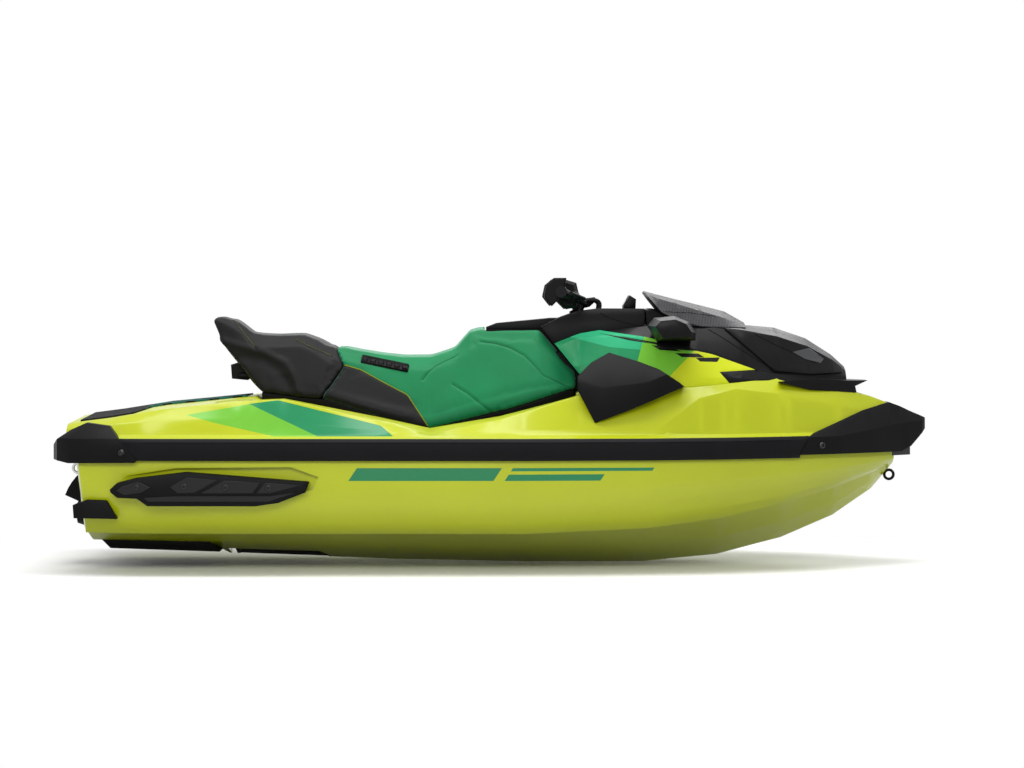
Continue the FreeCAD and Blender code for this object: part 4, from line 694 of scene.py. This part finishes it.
def tree_of(*objects):
    """A search tree over the surfaces of some objects."""
    vertices, faces = [], []
    for obj in objects:
        first = len(vertices)
        vertices += points_of(obj)
        faces += [tuple(first + i for i in face.vertices) for face in obj.data.polygons]
    return BVHTree.FromPolygons(vertices, faces)


def met(tree, start, way, lift=0.0):
    """The point of the surface that a line from outside meets first, with its normal."""
    hit, normal, index, distance = tree.ray_cast(Vector(start), Vector(way))
    if hit is None:
        return None
    if normal.dot(Vector(way)) > 0:
        normal = -normal
    return hit + normal * lift, normal


def on_side(tree, x, z, side, lift=0.0):
    return met(tree, (x, side * SIDE_START, z), (0, -side, 0), lift)


def on_rear(tree, y, z, side):
    return met(tree, (REAR_START, side * y, z), (1, 0, 0))


def under(tree, x, y, side):
    return met(tree, (x, side * y, BELOW_START), (0, 0, 1))


def even_points(line, step):
    points = []
    left = 0.0
    for (x_a, z_a), (x_b, z_b) in zip(line, line[1:]):
        length = math.hypot(x_b - x_a, z_b - z_a)
        while left < length:
            part = left / length
            points.append((x_a + part * (x_b - x_a), z_a + part * (z_b - z_a)))
            left += step
        left -= length
    return points


def points_on_side(tree, line, step, side, lift):
    """Even steps along a line seen from the side, set on the surface, with the surface's normals."""
    found = [on_side(tree, x, z, side, lift) for x, z in even_points(line, step)]
    return [item for item in found if item]


def lay_lines(name, tree, lines, radius, material, body, lift=0.0, step=SEAM_STEP):
    """Thin tubes laid on both sides of a surface along lines seen from the side."""
    curve = new_tube(name, radius, TUBE_ROUNDNESS)
    for side in BOTH_SIDES:
        for line in lines:
            found = points_on_side(tree, line, step, side, lift)
            if len(found) < LEAST_POINTS:
                continue
            spline = curve.splines.new("POLY")
            spline.points.add(len(found) - 1)
            for target, (place, normal) in zip(spline.points, found):
                target.co = (*place, 1)
    add_object(name, curve, material, body)


def lay_stitches(name, tree, lines, material, body, lift):
    """Short thread dashes on both sides of a surface."""
    vertices, faces = [], []
    for side in BOTH_SIDES:
        for line in lines:
            places = points_on_side(tree, line, STITCH_STEP, side, lift)
            for (point, normal), (following, other) in zip(places, places[1:]):
                run = (following - point).normalized()
                across = run.cross(normal).normalized()
                first = len(vertices)
                for end in (0, 1):
                    centre = point + run * STITCH_LENGTH * end
                    for turn in (across, normal, -across, -normal):
                        vertices.append(centre + turn * STITCH_RADIUS)
                faces += bands(first, 2, 4)
                faces.append((first + 3, first + 2, first + 1, first))
                faces.append((first + 4, first + 5, first + 6, first + 7))
    add_mesh(name, vertices, faces, material, body)


def add_screws(name, tree, places, material, body, reach=on_side, sides=BOTH_SIDES):
    """Domed screws with a socket, each standing on a surface."""
    vertices, faces = [], []
    for side in sides:
        for place in places:
            found = reach(tree, *place, side)
            if not found:
                continue
            centre, normal = found
            turn = normal.to_track_quat("Z", "Y")
            first = len(vertices)
            for share, rise in SCREW_RINGS:
                for i in range(SCREW_TURNS):
                    angle = math.tau * i / SCREW_TURNS
                    out = Vector((math.cos(angle), math.sin(angle), 0)) * (SCREW_RADIUS * share)
                    vertices.append(centre + turn @ (out + Vector((0, 0, SCREW_RISE * rise))))
            faces += bands(first, len(SCREW_RINGS), SCREW_TURNS)
    tidy(add_mesh(name, vertices, faces, material, body))


def add_plates(name, tree, outlines, material, body, reach=on_side, sides=BOTH_SIDES):
    """Raised plates with sloped rims, each an outline on a surface."""
    vertices, faces = [], []
    for side in sides:
        for outline in outlines:
            found = [reach(tree, a, b, side) for a, b in outline]
            if None in found:
                continue
            count = len(found)
            middle = sum((point for point, normal in found), Vector()) / count
            first = len(vertices)
            for share, lift in PLATE_RINGS:
                for point, normal in found:
                    inward = (middle - point).normalized() * (PLATE_RIM * share)
                    vertices.append(point + inward + normal * (PLATE_RISE * lift))
            faces += bands(first, len(PLATE_RINGS), count)
            faces.append(tuple(first + 2 * count + i for i in range(count)))
            faces.append(tuple(first + i for i in reversed(range(count))))
    tidy(add_mesh(name, vertices, faces, material, body))


def below_panel(line):
    """Outline below the side panel's line, cut into convex slices."""
    slices = []
    for (x_a, z_a), (x_b, z_b) in zip(line, line[1:]):
        slices.append([(x_a, PANEL_FLOOR_Z), (x_b, PANEL_FLOOR_Z), (x_b, z_b), (x_a, z_a)])
    x, z = line[0]
    end = x - PANEL_END_REACH
    slices.append([(end, PANEL_FLOOR_Z), (x, PANEL_FLOOR_Z), (x, z), (end, z + PANEL_END_REACH)])
    return slices


def make_rider_seat():
    """The green seat, whose skin is given back for the vents that lie on it."""
    obj = copy_node("rider_cushion", "rider_seat")
    inflate(obj)
    sew(obj, RIDER_CREASES)
    sew(obj, [PANEL_LINE], *PANEL_SEAM)
    sew(obj, [PANEL_FOLD], *PANEL_RIDGE)
    panels = [(part, VINYL_BLACK) for part in below_panel(PANEL_LINE)]
    paint(obj, vinyl("rider_vinyl", VINYL_GREEN, panels, sheen=0.30))
    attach(obj, "seat")
    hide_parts("rider_seat")
    skin = tree_of(obj)
    thread = satin_plastic("seam_thread", THREAD, roughness=0.7)
    lay_lines("side_panel_piping", skin, [PANEL_LINE], PIPING_RADIUS, thread, "seat",
              PIPING_LIFT)
    # Tubes of darker green vinyl sunk along the creases: painted shade in the creases
    dark = vinyl("crease_shade", scaled(VINYL_GREEN, 0.45))
    lay_lines("rider_crease_shade", skin, RIDER_CREASES, CREASE_SHADE_RADIUS, dark, "seat", -CREASE_SHADE_SINK)
    return skin


def make_tail_seat():
    obj = copy_node("tail_cushion", "passenger_seat")
    inflate(obj)
    sew(obj, [TAIL_FOLD], *TAIL_RIDGE)
    sew(obj, [TAIL_HOLLOW], *TAIL_DIP)
    sew(obj, TAIL_SEAMS)
    paint(obj, vinyl("tail_vinyl", VINYL_BLACK))
    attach(obj, "seat")
    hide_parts("passenger_seat")
    thread = satin_plastic("tail_thread", THREAD, roughness=0.7)
    raised = [[(x, z + STITCH_LENGTH) for x, z in line] for line in TAIL_SEAMS]
    lay_stitches("tail_stitches", tree_of(obj), raised, thread, "seat", STITCH_RADIUS / 2)


def vent_lift(i, j):
    """How far a point of a vent stands off the skin: sunk edge, rim, blocks and the floor between."""
    if i in (0, VENT_ALONG) or j in (0, VENT_UP):
        return VENT_EDGE_LIFT
    if i in (1, VENT_ALONG - 1) or j in (1, VENT_UP - 1):
        return VENT_RIM_LIFT
    if i % VENT_BLOCK_PITCH in VENT_BLOCK_CELLS and VENT_BLOCK_MARGIN < j < VENT_UP - VENT_BLOCK_MARGIN:
        return VENT_BLOCK_LIFT
    return VENT_FLOOR_LIFT


def make_vents(skin):
    """The long vent on each side of the rider's seat: a frame with a row of blocks in it."""
    (x_a, z_a), (x_b, z_b) = VENT_LINE
    run = Vector((x_b - x_a, z_b - z_a))
    length = run.length
    unit = run / length
    up = Vector((-unit.y, unit.x))
    row = VENT_UP + 1
    vertices, faces = [], []
    for side in BOTH_SIDES:
        first = len(vertices)
        for i in range(VENT_ALONG + 1):
            half = VENT_HALF * (VENT_END_SHARE if i in (0, VENT_ALONG) else 1.0)
            for j in range(row):
                part, rise = i / VENT_ALONG, 2.0 * j / VENT_UP - 1.0
                place = Vector((x_a, z_a)) + unit * (length * part) + up * (half * rise)
                point, normal = on_side(skin, place.x, place.y, side)
                vertices.append(point + normal * vent_lift(i, j))
        for i in range(VENT_ALONG):
            for j in range(VENT_UP):
                low = first + i * row + j
                quad = (low, low + 1, low + row + 1, low + row)
                faces.append(quad if side > 0 else quad[::-1])
    plastic = satin_plastic("vent_plastic", roughness=0.35)
    add_mesh("seat_vents", vertices, faces, plastic, "seat")


def set_materials():
    """Paints every solid piece, and rounds its edges."""
    looks = [
        (gloss_paint("hull_gelcoat", LIME, HULL_AREAS), ["hull"]),
        # The deck gets the darker lime, as painted shade over the deck
        (gloss_paint("deck_gelcoat", SHADED_DECK_LIME, DECK_AREAS, coat=0.14, shine=0.22), ["deck"]),
        (gloss_paint("fairing_gelcoat", LIME, FAIRING_AREAS, coat=0.06, roughness=0.45, shine=0.12),
         both("console_fairing")),
        (gloss_paint("body_gelcoat", LIME, BODY_AREAS), ["front_body"]),
        (satin_plastic("satin_trim"),
         ["bow_bumper", "glove_box", "glovebox_lid", "storage_bin", "steering_cover", "display", "seat_pan",
          "grab_handle", "handlebar", "ride_plate", "steering_nozzle", "reverse_bucket", "bow_eye",
          "intake_grate", *both("stern_bumper", "sponson", "corner_guard", "knee_pod", "lever")]),
        (satin_plastic("gloss_trim", roughness=0.34, grain=500.0, depth=0.00004, coat=0.03),
         ["hood", "bow_blade", *both("mirror")]),
        (satin_plastic("rail_rubber", RUBBER, roughness=0.5, grain=260.0, depth=0.0002),
         both("rail", "grip")),
        (foam_mat("mat_foam_skin"), ["traction_mats"]),
        (weave("woven_screen"), ["windshield"]),
        (metal("cast_metal", CAST, roughness=0.45), ["pump_housing"]),
        (metal("bright_steel", STEEL, roughness=0.16), ["impeller", "stern_eyes"]),
        (metal("engine_casting", scaled(CAST, 0.5), roughness=0.6), ["engine_block"]),
    ]
    for material, names in looks:
        for name in names:
            paint(nodes[name], material)
    for name, obj in nodes.items():
        smooth(obj, EDGE_RADII.get(without_side(name), 0.0))


def make_details():
    """Screws, raised plates and pressed lines on the hard pieces, each laid on its own surface; the lines
    are darker tubes of painted shade.
    """
    screw = satin_plastic("screw_black", roughness=0.3, grain=300.0, depth=0.0001, shine=0.4)
    plate = satin_plastic("plate_black", scaled(TRIM, 1.3), 0.45, grain=300.0, depth=0.0002, shine=0.2)
    # Pressed lines are tubes of a darker black: painted shade in the grooves
    groove = satin_plastic("groove_shade_black", GROOVE, roughness=0.6)
    lens = dark_glass("lamp_glass")
    sponsons = tree_of(nodes["sponson_starboard"], nodes["sponson_port"])
    add_plates("sponson_plates", sponsons, SPONSON_PLATES, plate, "craft")
    add_screws("sponson_screws", sponsons, SPONSON_SCREWS, screw, "craft")
    bumpers = tree_of(nodes["stern_bumper_starboard"], nodes["stern_bumper_port"], nodes["bow_bumper"])
    add_screws("bumper_screws", bumpers, BUMPER_SCREWS, screw, "craft")
    bottom = tree_of(nodes["ride_plate"])
    add_screws("ride_plate_screws", bottom, PLATE_SCREWS, screw, "craft", under, (1,))
    rails = tree_of(nodes["rail_starboard"], nodes["rail_port"])
    lay_lines("rail_grooves", rails, [RAIL_LINE], RAIL_GROOVE_RADIUS, groove, "craft",
              step=RAIL_STEP)
    front = tree_of(nodes["hood"])
    lay_lines("hood_grooves", front, HOOD_LINES, HOOD_GROOVE_RADIUS, groove, "hood",
              -GROOVE_SINK, GROOVE_STEP)
    add_plates("lamp_covers", front, [LAMP_OUTLINE], lens, "hood")
    console = tree_of(nodes["front_body"], nodes["steering_cover"])
    lay_lines("console_grooves", console, [CONSOLE_LINE], CONSOLE_GROOVE_RADIUS, groove, "craft",
              -GROOVE_SINK, GROOVE_STEP)
    screen = tree_of(nodes["windshield"])
    lay_lines("screen_grooves", screen, SCREEN_LINES, SCREEN_GROOVE_RADIUS, groove, "hood",
              -GROOVE_SINK, GROOVE_STEP)
    display = tree_of(nodes["display"])
    add_plates("display_glass", display, [DISPLAY_GLASS], lens, "craft", on_rear, (1,))
    mirrors = tree_of(nodes["mirror_starboard"], nodes["mirror_port"])
    silver = metal("mirror_glass", STEEL, roughness=0.05)
    add_plates("mirror_glasses", mirrors, [MIRROR_GLASS], silver, "hood", on_rear)


def make_mouldings(look):
    """Closed mouldings of one side outline, with rounded edges and ends that draw in a little."""
    rings = len(MOULDING_RINGS)
    for name, (outline, middles, half, radius, body) in MOULDINGS.items():
        middle_x, middle_z = middle_of(outline)
        count = len(outline)
        vertices, faces = [], []
        for middle_y in middles:
            first = len(vertices)
            for reach, share in MOULDING_RINGS:
                y = middle_y + half * reach
                vertices += [(middle_x + (x - middle_x) * share, y, middle_z + (z - middle_z) * share)
                             for x, z in outline]
            faces.append(tuple(first + i for i in range(count)))
            faces.append(tuple(first + (rings - 1) * count + i for i in reversed(range(count))))
            faces += [(a, d, c, b) for a, b, c, d in bands(first, rings, count)]
        smooth(tidy(add_mesh(name, vertices, faces, look, body)), radius)


def make_column_guards(look):
    """A bent tube on each side of the steering column."""
    curve = new_tube("column_guards", GUARD_RADIUS, GUARD_ROUNDNESS)
    for y in GUARD_MIDDLES:
        spline = curve.splines.new("NURBS")
        spline.points.add(len(GUARD_LOOP) - 1)
        for target, (x, z) in zip(spline.points, GUARD_LOOP):
            target.co = (x, y, z, 1)
        spline.order_u = 3
        spline.use_endpoint_u = True
    add_object("column_guards", curve, look, "craft")


def make_stage():
    """A floor that looks white but for the craft's soft shade on it."""
    material, tree, shader, place = new_material("pale_floor")
    white = tree.nodes.new("ShaderNodeEmission")
    white.inputs["Strength"].default_value = 1.0
    seen = seen_plainly(tree)
    feed(tree, shader.inputs["Base Color"], blend(tree, seen, FLOOR_SHADE, FLOOR_WHITE))
    shader.inputs["Roughness"].default_value = 0.6
    shader.inputs["Specular IOR Level"].default_value = 0.1
    length = tree.nodes.new("ShaderNodeVectorMath")
    length.operation = "LENGTH"
    feed(tree, length.inputs[0], stretched(tree, place, (1 / SHADOW_REACH[0], 1 / SHADOW_REACH[1], 1)))
    share = calc(tree, "MULTIPLY", spread(tree, length.outputs["Value"], *SHADOW_FADE), seen)
    mixed = tree.nodes.new("ShaderNodeMixShader")
    tree.links.new(share, mixed.inputs[0])
    tree.links.new(shader.outputs[0], mixed.inputs[1])
    tree.links.new(white.outputs[0], mixed.inputs[2])
    tree.links.new(mixed.outputs[0], tree.nodes["Material Output"].inputs["Surface"])
    mesh = bpy.data.meshes.new("floor")
    corners = [(x * FLOOR_HALF, y * FLOOR_HALF, 0) for x, y in ((-1, -1), (1, -1), (1, 1), (-1, 1))]
    mesh.from_pydata(corners, [], [(0, 1, 2, 3)])
    floor = bpy.data.objects.new("floor", mesh)
    floor.location.z = FLOOR_Z
    bpy.context.scene.collection.objects.link(floor)
    floor.data.materials.append(material)


def aim(name, data, place, target):
    """A lamp or a camera that stands at a place and looks at a target."""
    obj = bpy.data.objects.new(name, data)
    obj.location = place
    obj.rotation_mode = "QUATERNION"
    obj.rotation_quaternion = (Vector(target) - Vector(place)).to_track_quat("-Z", "Y")
    bpy.context.scene.collection.objects.link(obj)
    return obj


def make_light():
    scene = bpy.context.scene
    world = bpy.data.worlds.new("studio")
    scene.world = world
    world.use_nodes = True
    tree = world.node_tree
    background = tree.nodes["Background"]
    strength = spread(tree, seen_plainly(tree), low=0.0, high=1.0, to_low=WORLD_LEVEL)
    tree.links.new(strength, background.inputs["Strength"])
    background.inputs["Color"].default_value = (1, 1, 1, 1)
    for name, place, target, size, power in LAMPS:
        data = bpy.data.lights.new(name, "AREA")
        data.shape = "RECTANGLE"
        data.size, data.size_y = size
        data.energy = power
        aim(name, data, place, target)
    scene.view_settings.view_transform = "Standard"


def make_camera():
    data = bpy.data.cameras.new("camera")
    data.lens = LENS
    data.clip_end = CAMERA_REACH
    bpy.context.scene.camera = aim("camera", data, CAMERA_PLACE, CAMERA_TARGET)


make_camera()
make_light()
make_stage()
set_materials()
make_vents(make_rider_seat())
make_tail_seat()
make_details()
moulding_look = satin_plastic("moulding_black")
make_mouldings(moulding_look)
make_column_guards(moulding_look)
